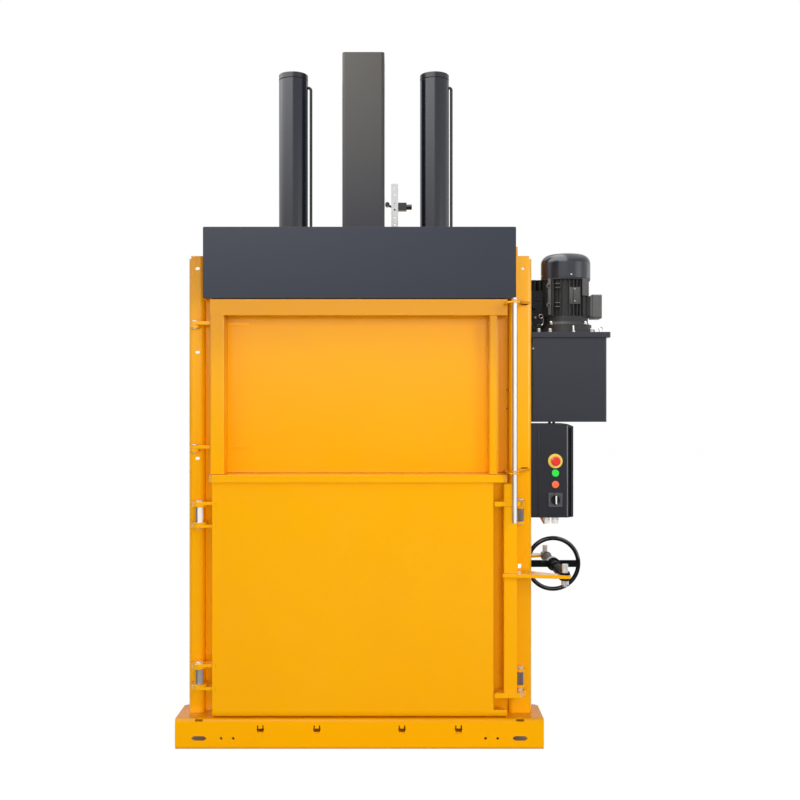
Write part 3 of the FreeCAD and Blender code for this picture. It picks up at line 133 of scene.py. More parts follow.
# pale floor and backdrop, what shiny surfaces mirror, and soft lamps
studio = {
    "ambient": (0.15, 0.60),
    "ambientRise": (-0.2, 1.0),
    "frontView": (0.7, 0.3),
    "sky": (0.02, 1.3),
    "skyLine": (-0.055, 0.085),
    "asideEdge": (0.6, 0.92),
    "asideRise": (0.09, 0.0),
    "asideDim": 0.75,
    "bank": 3.5,
    "bankLine": (0.15, 0.36),
    "bankEdge": (0.05, -0.07),
    "bankDim": 0.3,
    "window": 4.0,
    "windowSides": ((0.55, 0.75), (0.96, 0.88)),
    "windowRises": ((-0.12, -0.05), (0.16, 0.06)),
    "ceiling": 1.0,
    "ceilingRise": (0.5, 0.8),
    "floorHalf": 30.0,
    "floorSink": 0.0004,
    "floorGlow": 0.93,
    "floorGrey": 0.13,
    "bounceGrey": 0.5,
    "bounceDip": 0.96,
    "glossyLoss": 0.97,
    "frontLine": -0.42,
    "frontFade": 0.15,
    "underneath": (0.74, 0.50),
    "underEdge": 0.02,
    "lamps": (
        ("front", (0.6, -6.3, 1.5), (0.1, -0.4, 0.9), 2.0, 150.0),
        ("key", (2.9, -4.4, 2.7), (0.1, -0.4, 0.9), 1.8, 60.0),
        ("fill", (-2.9, -4.6, 0.9), (0.0, -0.4, 0.8), 3.0, 36.0),
        ("top", (0.2, 0.6, 6.0), (0.1, 0.0, 1.5), 3.0, 64.0),
    ),
}


def rayKinds(tree):
    names = ("Is Camera Ray", "Is Glossy Ray", "Is Transmission Ray")
    return [tree.node("ShaderNodeLightPath", {}, {}, name) for name in names]


def makeWorld():
    world = bpy.data.worlds.new("studio")
    world.use_nodes = True
    scene.world = world
    tree = Tree(world.node_tree)
    isCamera, isGlossy, isThrough = rayKinds(tree)
    heading = tree.node("ShaderNodeTexCoord", {}, {}, "Generated")
    side, across, height = (tree.along(heading, axis) for axis in "XYZ")
    # white behind the object; in front a bright bank high on the left, a window and a dark room
    inFront = tree.spread(across, *studio["frontView"])
    aside = tree.spread(side.atLeast(0 - side), *studio["asideEdge"])
    aside = aside * tree.spread(height, *studio["asideRise"])
    level = tree.spread(height, *studio["skyLine"], *studio["sky"])
    level = level * (1 - aside * studio["asideDim"])
    high = tree.spread(height, *studio["bankLine"])
    bank = high * tree.spread(side, *studio["bankEdge"])
    dimmed = high * tree.spread(side, *studio["bankEdge"], studio["bankDim"], 0.0)
    level = level * (1 - dimmed) + bank * studio["bank"]
    (left, right), (bottom, top) = studio["windowSides"], studio["windowRises"]
    window = tree.spread(side, *left) * tree.spread(side, *right)
    window = window * tree.spread(height, *bottom) * tree.spread(height, *top)
    ceiling = tree.spread(height, *studio["ceilingRise"]) * studio["ceiling"]
    level = level + window * studio["window"] + ceiling
    mirrored = inFront * level + (1 - inFront)
    seen = isCamera.atLeast(isThrough)
    ambient = tree.spread(height, *studio["ambientRise"], *studio["ambient"])
    lit = isGlossy * mirrored + (1 - isGlossy) * ambient
    strength = seen + (1 - seen) * lit
    shine = tree.node("ShaderNodeBackground", {}, {"Color": (1, 1, 1, 1), "Strength": strength})
    tree.node("ShaderNodeOutputWorld", {}, {"Surface": shine})


def makeFloor():
    mesh = bpy.data.meshes.new("studioFloor")
    half, sink = studio["floorHalf"], studio["floorSink"]
    corners = [(-half, -half), (half, -half), (half, half), (-half, half)]
    mesh.from_pydata([(x, y, -sink) for x, y in corners], [], [(0, 1, 2, 3)])
    floor = bpy.data.objects.new("studioFloor", mesh)
    scene.collection.objects.link(floor)
    material = bpy.data.materials.new("floorWhite")
    material.use_nodes = True
    tree = Tree(material.node_tree)
    isCamera, isGlossy, isThrough = rayKinds(tree)
    place = tree.node("ShaderNodeTexCoord", {}, {}, "Object")
    width, depth = (tree.along(place,axis) for axis in "XY")
    # white where the backdrop is seen, dark under the machine
    reachX, reachY = studio["underneath"]
    away = (width * width).atLeast(depth * depth * (reachX / reachY) ** 2)
    around = tree.spread(away, (reachX - studio["underEdge"]) ** 2, reachX ** 2)
    line, pale = studio["frontLine"], studio["bounceGrey"]
    behind = tree.spread(depth, line - studio["frontFade"], line)
    seen = isCamera.atLeast(isThrough).atLeast(isGlossy * behind) * around
    grey = tree.spread(tree.noise(place, 3.0), 0.3, 0.7, pale * studio["bounceDip"], pale)
    sockets = {"Color": grey * (1 - isGlossy * studio["glossyLoss"])}
    plain = tree.node("ShaderNodeBsdfDiffuse", {}, sockets)
    level = studio["floorGrey"]
    shade = tree.node("ShaderNodeBsdfDiffuse", {}, {"Color": (level, level, level, 1)})
    sockets = {"Color": (1, 1, 1, 1), "Strength": studio["floorGlow"]}
    glow = tree.node("ShaderNodeEmission", {}, sockets)
    white = tree.node("ShaderNodeAddShader", {}, {0: shade, 1: glow})
    both = tree.node("ShaderNodeMixShader", {}, {0: seen, 1: plain, 2: white})
    tree.node("ShaderNodeOutputMaterial", {}, {"Surface": both})
    mesh.materials.append(material)


def makeLamps():
    for name, place, target, size, power in studio["lamps"]:
        light = bpy.data.lights.new(name, "AREA")
        light.shape = "DISK"
        light.size = size
        light.energy = power
        light.cycles.use_multiple_importance_sampling = False
        lamp = bpy.data.objects.new(name, light)
        lamp.location = place
        lamp.visible_glossy = False
        lamp.rotation_euler = (Vector(target) - Vector(place)).to_track_quat("-Z", "Y").to_euler()
        scene.collection.objects.link(lamp)


makeWorld()
makeFloor()
makeLamps()
scene.view_settings.view_transform = "Standard"
print("studio made")


def startFinish(name):
    material = bpy.data.materials.new(name)
    material.use_nodes = True
    return material, Tree(material.node_tree)


def endFinish(tree, sockets):
    surface = tree.node("ShaderNodeBsdfPrincipled", {}, sockets)
    tree.node("ShaderNodeOutputMaterial", {}, {"Surface": surface})


def objectPlace(tree):
    return tree.node("ShaderNodeTexCoord", {}, {}, "Object")


def roundedNormal(tree, height, depth, radius):
    # small surface relief on top of an edge rounding
    rounded = tree.node("ShaderNodeBevel", {"samples": 4}, {"Radius": radius}, "Normal")
    sockets = {"Height": height, "Distance": depth, "Strength": 1.0, "Normal": rounded}
    return tree.node("ShaderNodeBump", {}, sockets)


def edgeMask(tree, radius):
    rounded = tree.node("ShaderNodeBevel", {"samples": 4}, {"Radius": radius}, "Normal")
    flat = tree.node("ShaderNodeNewGeometry", {}, {}, "Normal")
    sockets = {0: rounded, 1: flat}
    alike = tree.node("ShaderNodeVectorMath", {"operation": "DOT_PRODUCT"}, sockets, "Value")
    return tree.spread(1 - alike, 0.02, 0.3)


def toned(colour, times, plus=0.0):
    # a darker or paler copy of a colour
    return tuple(min(1.0, part * times + plus) for part in colour[:3]) + (1,)


yellowCoat = {
    "colour": (0.935, 0.424, 0.0005, 1),
    "deep": (0.91, 0.395, 0.0004, 1),
    "edge": (0.95, 0.46, 0.01, 1),
    "shaded": (0.59, 0.218, 0.004, 1),
    "rough": (0.14, 0.20),
    "shine": 0.52,
    "peel": 420.0,
    "peelDepth": 0.000004,
    "sway": 1.7,
    "swayDepth": 0.0013,
    "round": 0.0022,
}

# plated bushes in the yellow hinges, darker near the floor, with painted shade on their left side
plating = {
    "low": (0.36, 0.35, 0.35, 1),
    "high": (0.93, 0.92, 0.90, 1),
    "rise": (0.4, 0.8),
    "shadedFlank": (-0.0035, -0.0065),
    "shadedFlankColour": (0.19, 0.175, 0.14, 1),
    "metal": 0.15,
    "rough": 0.25,
}


def yellowPaint(name, chromeSpots=(), paintedShades=(), shine=None):
    # powder coat on folded steel: even colour, orange peel, slightly uneven sheets
    # painted shade: each band of the shades is a deeper yellow where shade falls; axis, where one
    # begins, is full, starts to end, ends, its amount
    material, tree = startFinish(name)
    place = objectPlace(tree)
    cloud = tree.spread(tree.noise(place, 1.4, 2.0), 0.35, 0.65)
    fleck = tree.spread(tree.noise(place, 900.0, 2.0), 0.35, 0.65)
    base = tree.colour(cloud * 0.5 + fleck * 0.18, yellowCoat["colour"], yellowCoat["deep"])
    worn = edgeMask(tree, yellowCoat["round"])
    scuff = tree.spread(tree.noise(place, 26.0, 4.0, 0.6), 0.45, 0.62)
    base = tree.colour(worn * (0.35 + scuff * 0.3), base, yellowCoat["edge"])
    for axis, begin, full, ending, end, amount in paintedShades:
        run = tree.along(place,axis)
        band = tree.spread(run, begin, full) * tree.spread(run, end, ending)
        base = tree.colour(band * amount, base, yellowCoat["shaded"])
    peel = tree.noise(place, yellowCoat["peel"], 2.0)
    sway = tree.noise(tree.stretched(place, (1.0, 1.0, 0.6)), yellowCoat["sway"], 1.0)
    relief = peel * (yellowCoat["peelDepth"] / yellowCoat["swayDepth"]) + sway
    low, high = yellowCoat["rough"]
    rough = tree.spread(tree.noise(place, 9.0, 4.0), 0.3, 0.7, low, high)
    sockets = {
        "Base Color": base,
        "Roughness": rough,
        "Specular IOR Level": shine or yellowCoat["shine"],
        "Normal": roundedNormal(tree, relief, yellowCoat["swayDepth"], yellowCoat["round"]),
    }
    if chromeSpots:
        bright = chromeMask(tree, place, chromeSpots)
        rise = tree.spread(tree.along(place, "Z"), *plating["rise"])
        plate = tree.colour(rise, plating["low"], plating["high"])
        # painted shade: the left side of each bush is darker
        shadedFlank = tree.spread(tree.along(place, "X") - chromeSpots[0][0], *plating["shadedFlank"])
        plate = tree.colour(shadedFlank, plate, plating["shadedFlankColour"])
        sockets["Base Color"] = tree.colour(bright, base, plate)
        sockets["Metallic"] = bright * plating["metal"]
        sockets["Roughness"] = rough * (1 - bright) + bright * plating["rough"]
    endFinish(tree, sockets)
    return material


def chromeMask(tree, place, spots):
    # 1 inside upright cylinders given as (x, y, radius, low z, high z)
    x, y, z = (tree.along(place, axis) for axis in "XYZ")
    mask = None
    for spotX, spotY, radius, low, high in spots:
        dx = x - spotX
        dy = y - spotY
        near = (dx * dx + dy * dy).under(radius * radius)
        middle = z - (low + high) / 2
        level = (middle * middle).under(((high - low) / 2) ** 2)
        spot = near * level
        mask = spot if mask is None else mask.atLeast(spot)
    return mask


greyCoat = {"peel": 650.0, "peelDepth": 0.000009, "round": 0.0016}


def coatedSteel(name, colour, rough, shine=0.5, cloudiness=0.06, grain=greyCoat["peel"],
                depth=greyCoat["peelDepth"], paintedPaleTop=None):
    # fine-textured paint; the last argument is a height span and the paler colour at its top, a
    # painted reflection of a brighter sky high up
    material, tree = startFinish(name)
    place = objectPlace(tree)
    dark, pale = toned(colour, 0.82), toned(colour, 1.7, 0.01)
    cloud = tree.spread(tree.noise(place, 2.2, 3.0), 0.3, 0.7)
    fleck = tree.spread(tree.noise(place, 700.0, 2.0), 0.4, 0.7)
    base = tree.colour(cloud * cloudiness + fleck * 0.12, colour, dark)
    # painted reflection: paler towards the top
    if paintedPaleTop:
        height = tree.along(place,"Z")
        low, high, paintedTopColour = paintedPaleTop
        base = tree.colour(tree.spread(height, low, high), base, paintedTopColour)
    base = tree.colour(edgeMask(tree, greyCoat["round"]) * 0.45, base, pale)
    low, high = rough
    sheen = tree.spread(tree.noise(place, 3.0, 1.0), 0.2, 0.8, low, high)
    relief = tree.noise(place, grain, 3.0, 0.6)
    sockets = {
        "Base Color": base,
        "Roughness": sheen,
        "Specular IOR Level": shine,
        "Normal": roundedNormal(tree, relief, depth, greyCoat["round"]),
    }
    endFinish(tree, sockets)
    return material


# a sandy casting, and a weld bead under paint
sandCast = {"shine": 0.45, "cloudiness": 0.5, "grain": 260.0, "depth": 0.00035}
beadCoat = {"shine": 0.4, "cloudiness": 0.4, "grain": 240.0, "depth": 0.0003}


def bareMetal(name, colour, rough, streak=(60.0, 60.0, 4.0), dirt=0.2, metal=1.0, shadedFlanks=None):
    # plated steel with fine drawn marks; flanks darken both sides of an upright rod as painted
    # shade, standing in for the darker reflection on a round rod's sides
    material, tree = startFinish(name)
    place = objectPlace(tree)
    marks = tree.noise(tree.stretched(place, streak), 12.0, 4.0, 0.6)
    haze = tree.spread(tree.noise(place, 14.0, 4.0), 0.45, 0.7)
    grime = haze * dirt + tree.spread(marks, 0.3, 0.75) * 0.12
    base = tree.colour(grime, colour, toned(colour, 0.45))
    # painted shade: darker towards both sides of the rod
    if shadedFlanks:
        middle, inner, outer, tint = shadedFlanks
        aside = tree.along(place,"X") - middle
        base = tree.colour(tree.spread(aside * aside, inner * inner, outer * outer), base, tint)
    low, high = rough
    sheen = tree.spread(marks * 0.6 + haze * 0.4, 0.2, 0.8, low, high)
    sockets = {
        "Base Color": base,
        "Metallic": metal,
        "Roughness": sheen,
        "Normal": roundedNormal(tree, marks, 0.00002, 0.0012),
    }
    endFinish(tree, sockets)
    return material


linkCoat = {
    "black": ((0.006, 0.006, 0.007, 1), (0.011, 0.010, 0.010, 1)),
    "grey": ((0.27, 0.275, 0.30, 1), (0.15, 0.15, 0.165, 1)),
    "plate": (0.80, 0.79, 0.77, 1),
    "plateMetal": 0.9,
    "rough": (0.42, 0.55),
    "shine": 0.03,
    "streak": (18.0, 3.0, 18.0),
    "edge": 0.001,
    "depth": 0.00002,
    "round": 0.0012,
}


def linkSteel(name, spots=(), band=None):
    # black paint, with plated pin ends at spots or a grey band along y
    material, tree = startFinish(name)
    place = objectPlace(tree)
    marks = tree.noise(tree.stretched(place, linkCoat["streak"]), 14.0, 4.0, 0.6)
    haze = tree.spread(tree.noise(place, 22.0, 4.0), 0.4, 0.7)
    base = tree.colour(haze, *linkCoat["black"])
    if band:
        run, edge = tree.along(place, "Y"), linkCoat["edge"]
        low, high = band
        painted = tree.spread(run, low - edge, low + edge)
        painted = painted * tree.spread(run, high + edge, high - edge)
        grey = tree.colour(haze * 0.5 + marks * 0.4, *linkCoat["grey"])
        base = tree.colour(painted, base, grey)
    sockets = {
        "Base Color": base,
        "Roughness": tree.spread(haze * 0.5 + marks * 0.5, 0.2, 0.8, *linkCoat["rough"]),
        "Specular IOR Level": linkCoat["shine"],
        "Normal": roundedNormal(tree, marks, linkCoat["depth"], linkCoat["round"]),
    }
    if spots:
        bright = chromeMask(tree, place, spots)
        sockets["Base Color"] = tree.colour(bright, base, linkCoat["plate"])
        sockets["Metallic"] = bright * linkCoat["plateMetal"]
    endFinish(tree, sockets)
    return material


def mouldedPlastic(name, colour, rough=(0.22, 0.34), glow=0.0, above=None):
    # above is a height and the colour of everything higher, for nodes with two kinds of fitting
    material, tree = startFinish(name)
    place = objectPlace(tree)
    cloud = tree.spread(tree.noise(place, 60.0, 3.0), 0.3, 0.7)
    base = tree.colour(cloud * 0.15 + edgeMask(tree, 0.0015) * 0.2, colour, toned(colour, 0.7))
    if above:
        line, higher = above
        rise = tree.spread(tree.along(place, "Z"), line - 0.01, line)
        base = tree.colour(rise, base, higher)
    low, high = rough
    sheen = tree.spread(tree.noise(place, 120.0, 3.0), 0.3, 0.7, low, high)
    relief = tree.noise(place, 1400.0, 2.0)
    sockets = {
        "Base Color": base,
        "Roughness": sheen,
        "Normal": roundedNormal(tree, relief, 0.00003, 0.0012),
    }
    if glow:
        # painted glow: the button gives off a little light of its own
        sockets["Emission Color"] = base
        sockets["Emission Strength"] = glow
    endFinish(tree, sockets)
    return material


hinge = {"place": (-0.657, -0.500), "radius": 0.0165, "half": 0.0322, "heights": (0.9535, 0.292)}
hingeSpots = [(*hinge["place"], hinge["radius"], z - hinge["half"], z + hinge["half"])
              for z in hinge["heights"]]

clevis = {"place": (0.829, -0.577), "radius": 0.0152, "spans": ((0.7275, 0.80), (0.60, 0.697))}
clevisSpots = [(*clevis["place"], clevis["radius"], *span) for span in clevis["spans"]]

finishes = {
    "yellow": yellowPaint("yellowPaint"),
    "hinge": yellowPaint("hingePaint", hingeSpots),
    # high on the door frame and column under the header, and on the foot's top bend
    # painted shade: deeper yellow bands beside the panel's fold, in its recess and under the rail,
    "panel": yellowPaint("panelPaint", paintedShades=[
        ("X", 0.512, 0.526, 0.53, 0.545, 0.2), ("X", 0.5745, 0.5765, 0.7, 0.71, 0.95),
        ("Z", 1.55, 1.76, 3, 3.1, 0.22), ("Z", 1.728, 1.768, 3, 3.1, 0.45)]),
    "doorFrame": yellowPaint("doorFramePaint", paintedShades=[("Z", 1.45, 1.785, 3, 3.1, 0.58)]),
    "column": yellowPaint("columnPaint", paintedShades=[("Z", 1.6, 2.02, 3, 3.1, 0.5)]),
    "foot": yellowPaint("footPaint", paintedShades=[("Z", 0.108, 0.119, 3, 3.1, 0.35)], shine=0.12),
    "header": coatedSteel("headerPaint", (0.0145, 0.0195, 0.0325, 1), (0.24, 0.27)),
    # painted reflection: the guide column turns paler towards its top
    "mast": coatedSteel("mastPaint", (0.010, 0.013, 0.026, 1), (0.20, 0.24),
                        paintedPaleTop=(1.95, 2.95, (0.050, 0.045, 0.037, 1))),
    "barrel": coatedSteel("barrelPaint", (0.011, 0.013, 0.023, 1), (0.15, 0.18)),
    "cap": coatedSteel("capPaint", (0.012, 0.013, 0.016, 1), (0.22, 0.30)),
    "tank": coatedSteel("tankPaint", (0.026, 0.028, 0.037, 1), (0.28, 0.31)),
    "cast": coatedSteel("castPaint", (0.030, 0.030, 0.030, 1), (0.45, 0.6), **sandCast),
    "cowl": coatedSteel("cowlPaint", (0.022, 0.024, 0.034, 1), (0.20, 0.24)),
    "terminal": coatedSteel("terminalPaint", (0.070, 0.070, 0.069, 1), (0.42, 0.5)),
    "box": coatedSteel("boxPaint", (0.019, 0.020, 0.026, 1), (0.28, 0.32)),
    "corner": coatedSteel("cornerPaint", (0.017, 0.017, 0.022, 1), (0.3, 0.36), 0.22),
    "groove": coatedSteel("groovePaint", (0.003, 0.003, 0.003, 1), (0.6, 0.7), 0.02),
    # painted highlights: pale strips along the box's front edge and beside its door seam
    "edgeHighlight": coatedSteel("edgeHighlightPaint", (0.27, 0.27, 0.29, 1), (0.3, 0.36)),
    "seamHighlight": coatedSteel("seamHighlightPaint", (0.036, 0.036, 0.044, 1), (0.3, 0.36)),
    "lug": coatedSteel("lugPaint", (0.088, 0.086, 0.082, 1), (0.42, 0.5)),
    "cover": coatedSteel("terminalCover", (0.110, 0.109, 0.106, 1), (0.42, 0.5)),
    "black": coatedSteel("blackPaint", (0.005, 0.005, 0.005, 1), (0.28, 0.38), 0.22),
    "chrome": bareMetal("chromePlate", (0.76, 0.73, 0.68, 1), (0.16, 0.28), dirt=0.1, metal=0.3),
    "rod": bareMetal("rodPlate", (0.93, 0.92, 0.90, 1), (0.18, 0.26), dirt=0.05, metal=0.12,
                     shadedFlanks=(0.625, 0.0022, 0.0078, (0.29, 0.265, 0.245, 1))),
    "bush": bareMetal("bushSteel", (0.32, 0.27, 0.27, 1), (0.20, 0.30), dirt=0.1, metal=0.6),
    # painted shade: the brown that a yellow bracket takes in shade, for the folded clip
    "shadedBrown": bareMetal("shadedBrownMetal", (0.42, 0.15, 0.07, 1), (0.36, 0.50), metal=0.3),
    "zinc": bareMetal("zincPlate", (0.60, 0.60, 0.58, 1), (0.30, 0.50), (18.0, 18.0, 18.0)),
    "strip": mouldedPlastic("stripGrey", (0.69, 0.74, 0.75, 1), (0.40, 0.50)),
    "wheel": coatedSteel("wheelBlack", (0.006, 0.008, 0.009, 1), (0.07, 0.10), 0.8),
    "tube": linkSteel("linkTubePaint", band=(-0.238, -0.052)),
    "clevis": linkSteel("linkForkPaint", clevisSpots),
    "blackPlastic": mouldedPlastic("blackPlastic", (0.008, 0.008, 0.009, 1)),
    "greyPlastic": mouldedPlastic("greyPlastic", (0.085, 0.085, 0.095, 1)),
    "whitePlastic": mouldedPlastic("whitePlastic", (0.90, 0.90, 0.88, 1)),
    "fittings": mouldedPlastic("fittingPlastic", (0.90, 0.90, 0.88, 1),
                               above=(1.2, (0.004, 0.004, 0.004, 1))),
    "collar": mouldedPlastic("yellowPlastic", (0.85, 0.68, 0.12, 1), (0.12, 0.20)),
    # painted glow: the red, green and orange buttons give off a little light of their own
    "red": mouldedPlastic("redPlastic", (0.74, 0.045, 0.035, 1), (0.10, 0.18), glow=0.08),
    "green": mouldedPlastic("greenPlastic", (0.03, 0.72, 0.07, 1), glow=0.12),
    "orange": mouldedPlastic("orangePlastic", (0.92, 0.15, 0.06, 1), glow=0.12),
    "weld": coatedSteel("paintedWeld", (0.86, 0.36, 0.004, 1), (0.32, 0.46), **beadCoat),
}

# every node that isn't named here is yellow
nodeFinish = {
    "hinge": ["hinge_lugs"],
    "header": ["header_cover"],
    "mast": ["guide_column"],
    "barrel": ["cylinder_barrels"],
    "cap": ["cylinder_heads", "oil_pipes"],
    "tank": ["oil_tank", "tank_lid"],
    "cast": ["motor_flange", "motor_body"],
    "cowl": ["fan_cover"],
    "cover": ["terminal_box"],
    "box": ["control_box"],
    "black": ["valve_block", "link_fork"],
    "wheel": ["handwheel"],
    "panel": ["upper_door_panel"],
    "doorFrame": ["upper_door_frame"],
    "column": ["column_left"],
    "foot": ["base_feet"],
    "chrome": ["piston_rods", "hinge_pins"],
    "rod": ["locking_rod"],
    "bush": ["lock_bushes"],
    "clevis": ["link_spindle"],
    "tube": ["link_tube"],
    "strip": ["switch_strip"],
    "blackPlastic": ["limit_switch", "switch_lever", "selector_knob"],
    "greyPlastic": ["selector_bezel"],
    "fittings": ["cable_fittings"],
    "collar": ["stop_collar"],
    "red": ["stop_button"],
    "green": ["start_button"],
    "orange": ["reset_button"],
}


def dressNodes():
    chosen = {node: key for key, names in nodeFinish.items() for node in names}
    for name, node in nodes.items():
        node.material_slots[0].material = finishes[chosen.get(name, "yellow")]


dressNodes()
print("finishes made,", len(finishes))


def newPiece(name, mesh, body):
    piece = bpy.data.objects.new(name, mesh)
    scene.collection.objects.link(piece)
    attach(piece, body)


def meshPiece(name, form, finish, body, smooth=True):
    bmesh.ops.remove_doubles(form, verts=form.verts, dist=1e-6)
    bmesh.ops.recalc_face_normals(form, faces=form.faces)
    mesh = bpy.data.meshes.new(name)
    form.to_mesh(mesh)
    form.free()
    if smooth:
        mesh.shade_smooth()
        mesh.set_sharp_from_angle(angle=math.radians(35))
    mesh.materials.append(finishes[finish])
    newPiece(name, mesh, body)


def addBlock(form, low, high, bevel=0.0):
    # box between two corners with rounded edges
    size = Vector(high) - Vector(low)
    middle = (Vector(high) + Vector(low)) / 2
    grid = Matrix.Translation(middle) @ Matrix.Diagonal((*size, 1))
    made = bmesh.ops.create_cube(form, size=1.0, matrix=grid)
    if bevel:
        edges = list({edge for vert in made["verts"] for edge in vert.link_edges})
        bmesh.ops.bevel(form, geom=edges, offset=bevel, segments=2, profile=0.6, affect="EDGES")


def addPrism(form, corners, low, high, axis="z"):
    # straight prism on corner points, (x, y) along z or (x, z) along y
    rings = []
    for level in (low, high):
        spots = [(a, level, b) if axis == "y" else (a, b, level) for a, b in corners]
        rings.append([form.verts.new(spot) for spot in spots])
        form.faces.new(rings[-1])
    for i in range(len(corners)):
        j = (i + 1) % len(corners)
        form.faces.new((rings[0][i], rings[0][j], rings[1][j], rings[1][i]))


def solidBoxes(name):
    # the box of each loose solid of a CAD node
    form = bmesh.new()
    form.from_mesh(nodes[name].data)
    bmesh.ops.remove_doubles(form, verts=form.verts, dist=1e-5)
    rest, boxes = set(form.verts), []
    for start in form.verts:
        if start not in rest:
            continue
        rest.remove(start)
        wave, found = [start], []
        while wave:
            vert = wave.pop()
            found.append(vert.co.copy())
            near = [edge.other_vert(vert) for edge in vert.link_edges]
            near = [other for other in dict.fromkeys(near) if other in rest]
            rest.difference_update(near)
            wave += near
        low, high = ([pick(c[i] for c in found) for i in range(3)] for pick in (min, max))
        boxes.append((Vector(low), Vector(high)))
    form.free()
    return boxes


def addTurned(form, profile, centre, axis, segments):
    # lathe: profile of (radius, height) pairs round an axis
    turn = Vector((0, 0, 1)).rotation_difference(Vector(axis)).to_matrix().to_4x4()
    place = Matrix.Translation(centre) @ turn
    rings = []
    for radius, height in profile:
        if radius < 1e-7:
            rings.append([form.verts.new(place @ Vector((0, 0, height)))])
            continue
        ring = []
        for step in range(segments):
            angle = 2 * math.pi * step / segments
            spot = Vector((radius * math.cos(angle), radius * math.sin(angle), height))
            ring.append(form.verts.new(place @ spot))
        rings.append(ring)
    for lower, upper in zip(rings, rings[1:]):
        for step in range(segments):
            after = (step + 1) % segments
            corners = [lower[step % len(lower)], lower[after % len(lower)],
                       upper[after % len(upper)], upper[step % len(upper)]]
            corners = [v for i, v in enumerate(corners) if v not in corners[:i]]
            if len(corners) > 2:
                form.faces.new(corners)


# bolts and weld beads repeat, so geometry nodes grow them on points and paths
def openTree(name, inputs):
    group = bpy.data.node_groups.new(name, "GeometryNodeTree")
    face = group.interface
    face.new_socket("Geometry", in_out="OUTPUT", socket_type="NodeSocketGeometry")
    face.new_socket("Geometry", in_out="INPUT", socket_type="NodeSocketGeometry")
    for label, kind in inputs:
        face.new_socket(label, in_out="INPUT", socket_type="NodeSocket" + kind)
    tree = Tree(group)
    entry = group.nodes.new("NodeGroupInput")
    sockets = {label: Wire(tree, entry.outputs[label]) for label, kind in inputs}
    sockets["Geometry"] = Wire(tree, entry.outputs["Geometry"])
    return group, tree, sockets


def closeTree(tree, grown, material):
    real = tree.node("GeometryNodeRealizeInstances", {}, {0: grown})
    done = tree.node("GeometryNodeSetMaterial", {}, {"Geometry": real, "Material": material})
    tree.node("NodeGroupOutput", {}, {0: done})


def grow(name, group, mesh, values, finish, body):
    # runs a tree on a seed mesh and keeps the result as a plain mesh
    seed = bpy.data.objects.new(name + "Seed", mesh)
    scene.collection.objects.link(seed)
    modifier = seed.modifiers.new("grow", "NODES")
    modifier.node_group = group
    values = dict(values, Material=finishes[finish])
    for item in group.interface.items_tree:
        if item.in_out == "INPUT" and item.name in values:
            modifier[item.identifier] = values[item.name]
    bpy.context.view_layer.update()
    seen = seed.evaluated_get(bpy.context.evaluated_depsgraph_get())
    grown = bpy.data.meshes.new_from_object(seen)
    grown.name = name
    seed.modifiers.remove(modifier)
    bpy.data.objects.remove(seed)
    newPiece(name, grown, body)


def lifted(tree, geometry, height):
    lift = tree.node("ShaderNodeCombineXYZ", {}, {2: height})
    return tree.node("GeometryNodeTransform", {}, {"Geometry": geometry, "Translation": lift})


def boltTree():
    inputs = [("Sides", "Int"), ("Head", "Float"), ("Height", "Float"), ("Washer", "Float"),
              ("Plate", "Float"), ("Material", "Material")]
    group, tree, given = openTree("boltHeads", inputs)
    sides, head, height = given["Sides"], given["Head"], given["Height"]
    crown = height * 0.28
    sockets = {"Vertices": sides, "Radius": head, "Depth": height - crown}
    shank = tree.node("GeometryNodeMeshCylinder", {}, sockets)
    shank = lifted(tree, shank, given["Plate"] + (height - crown) * 0.5)
    sockets = {"Vertices": sides, "Radius Top": head * 0.78, "Radius Bottom": head, "Depth": crown}
    dome = tree.node("GeometryNodeMeshCone", {}, sockets)
    dome = lifted(tree, dome, given["Plate"] + height - crown)
    sockets = {"Vertices": 28, "Radius": given["Washer"], "Depth": given["Plate"]}
    plate = tree.node("GeometryNodeMeshCylinder", {}, sockets)
    plate = lifted(tree, plate, given["Plate"] * 0.5)
    bolt = tree.node("GeometryNodeJoinGeometry", {}, {0: [plate, shank, dome]})
    kind = {"data_type": "FLOAT_VECTOR"}
    facing = tree.node("GeometryNodeInputNamedAttribute", kind, {"Name": "facing"})
    turn = tree.node("FunctionNodeAlignRotationToVector", {"axis": "Z"}, {"Vector": facing})
    sockets = {"Points": given["Geometry"], "Instance": bolt, "Rotation": turn}
    closeTree(tree, tree.node("GeometryNodeInstanceOnPoints", {}, sockets), given["Material"])
    return group


def beadTree():
    inputs = [("Pitch", "Float"), ("Width", "Float"), ("Seed", "Int"), ("Material", "Material")]
    group, tree, given = openTree("weldBeads", inputs)
    path = tree.node("GeometryNodeMeshToCurve", {}, {"Mesh": given["Geometry"]})
    sockets = {"Curve": path, "Length": given["Pitch"]}
    points = tree.node("GeometryNodeResampleCurve", {"mode": "LENGTH"}, sockets)
    sockets = {"Radius": given["Width"] * 0.5, "Subdivisions": 2}
    drop = tree.node("GeometryNodeMeshIcoSphere", {}, sockets)
    drop = tree.node("GeometryNodeSetShadeSmooth", {}, {"Geometry": drop})
    sockets = {2: 0.86, 3: 1.1, "Seed": given["Seed"]}
    size = tree.node("FunctionNodeRandomValue", {"data_type": "FLOAT"}, sockets, 1)
    sockets = {"Points": points, "Instance": drop, "Scale": size}
    closeTree(tree, tree.node("GeometryNodeInstanceOnPoints", {}, sockets), given["Material"])
    return group


boltGroup = boltTree()
beadGroup = beadTree()


def bolts(name, spots, sizes, finish, body="frame"):
    # spots are (place, facing) pairs
    mesh = bpy.data.meshes.new(name)
    mesh.from_pydata([place for place, facing in spots], [], [])
    facing = mesh.attributes.new("facing", "FLOAT_VECTOR", "POINT")
    for slot, (place, way) in zip(facing.data, spots):
        slot.vector = way
    grow(name, boltGroup, mesh, sizes, finish, body)


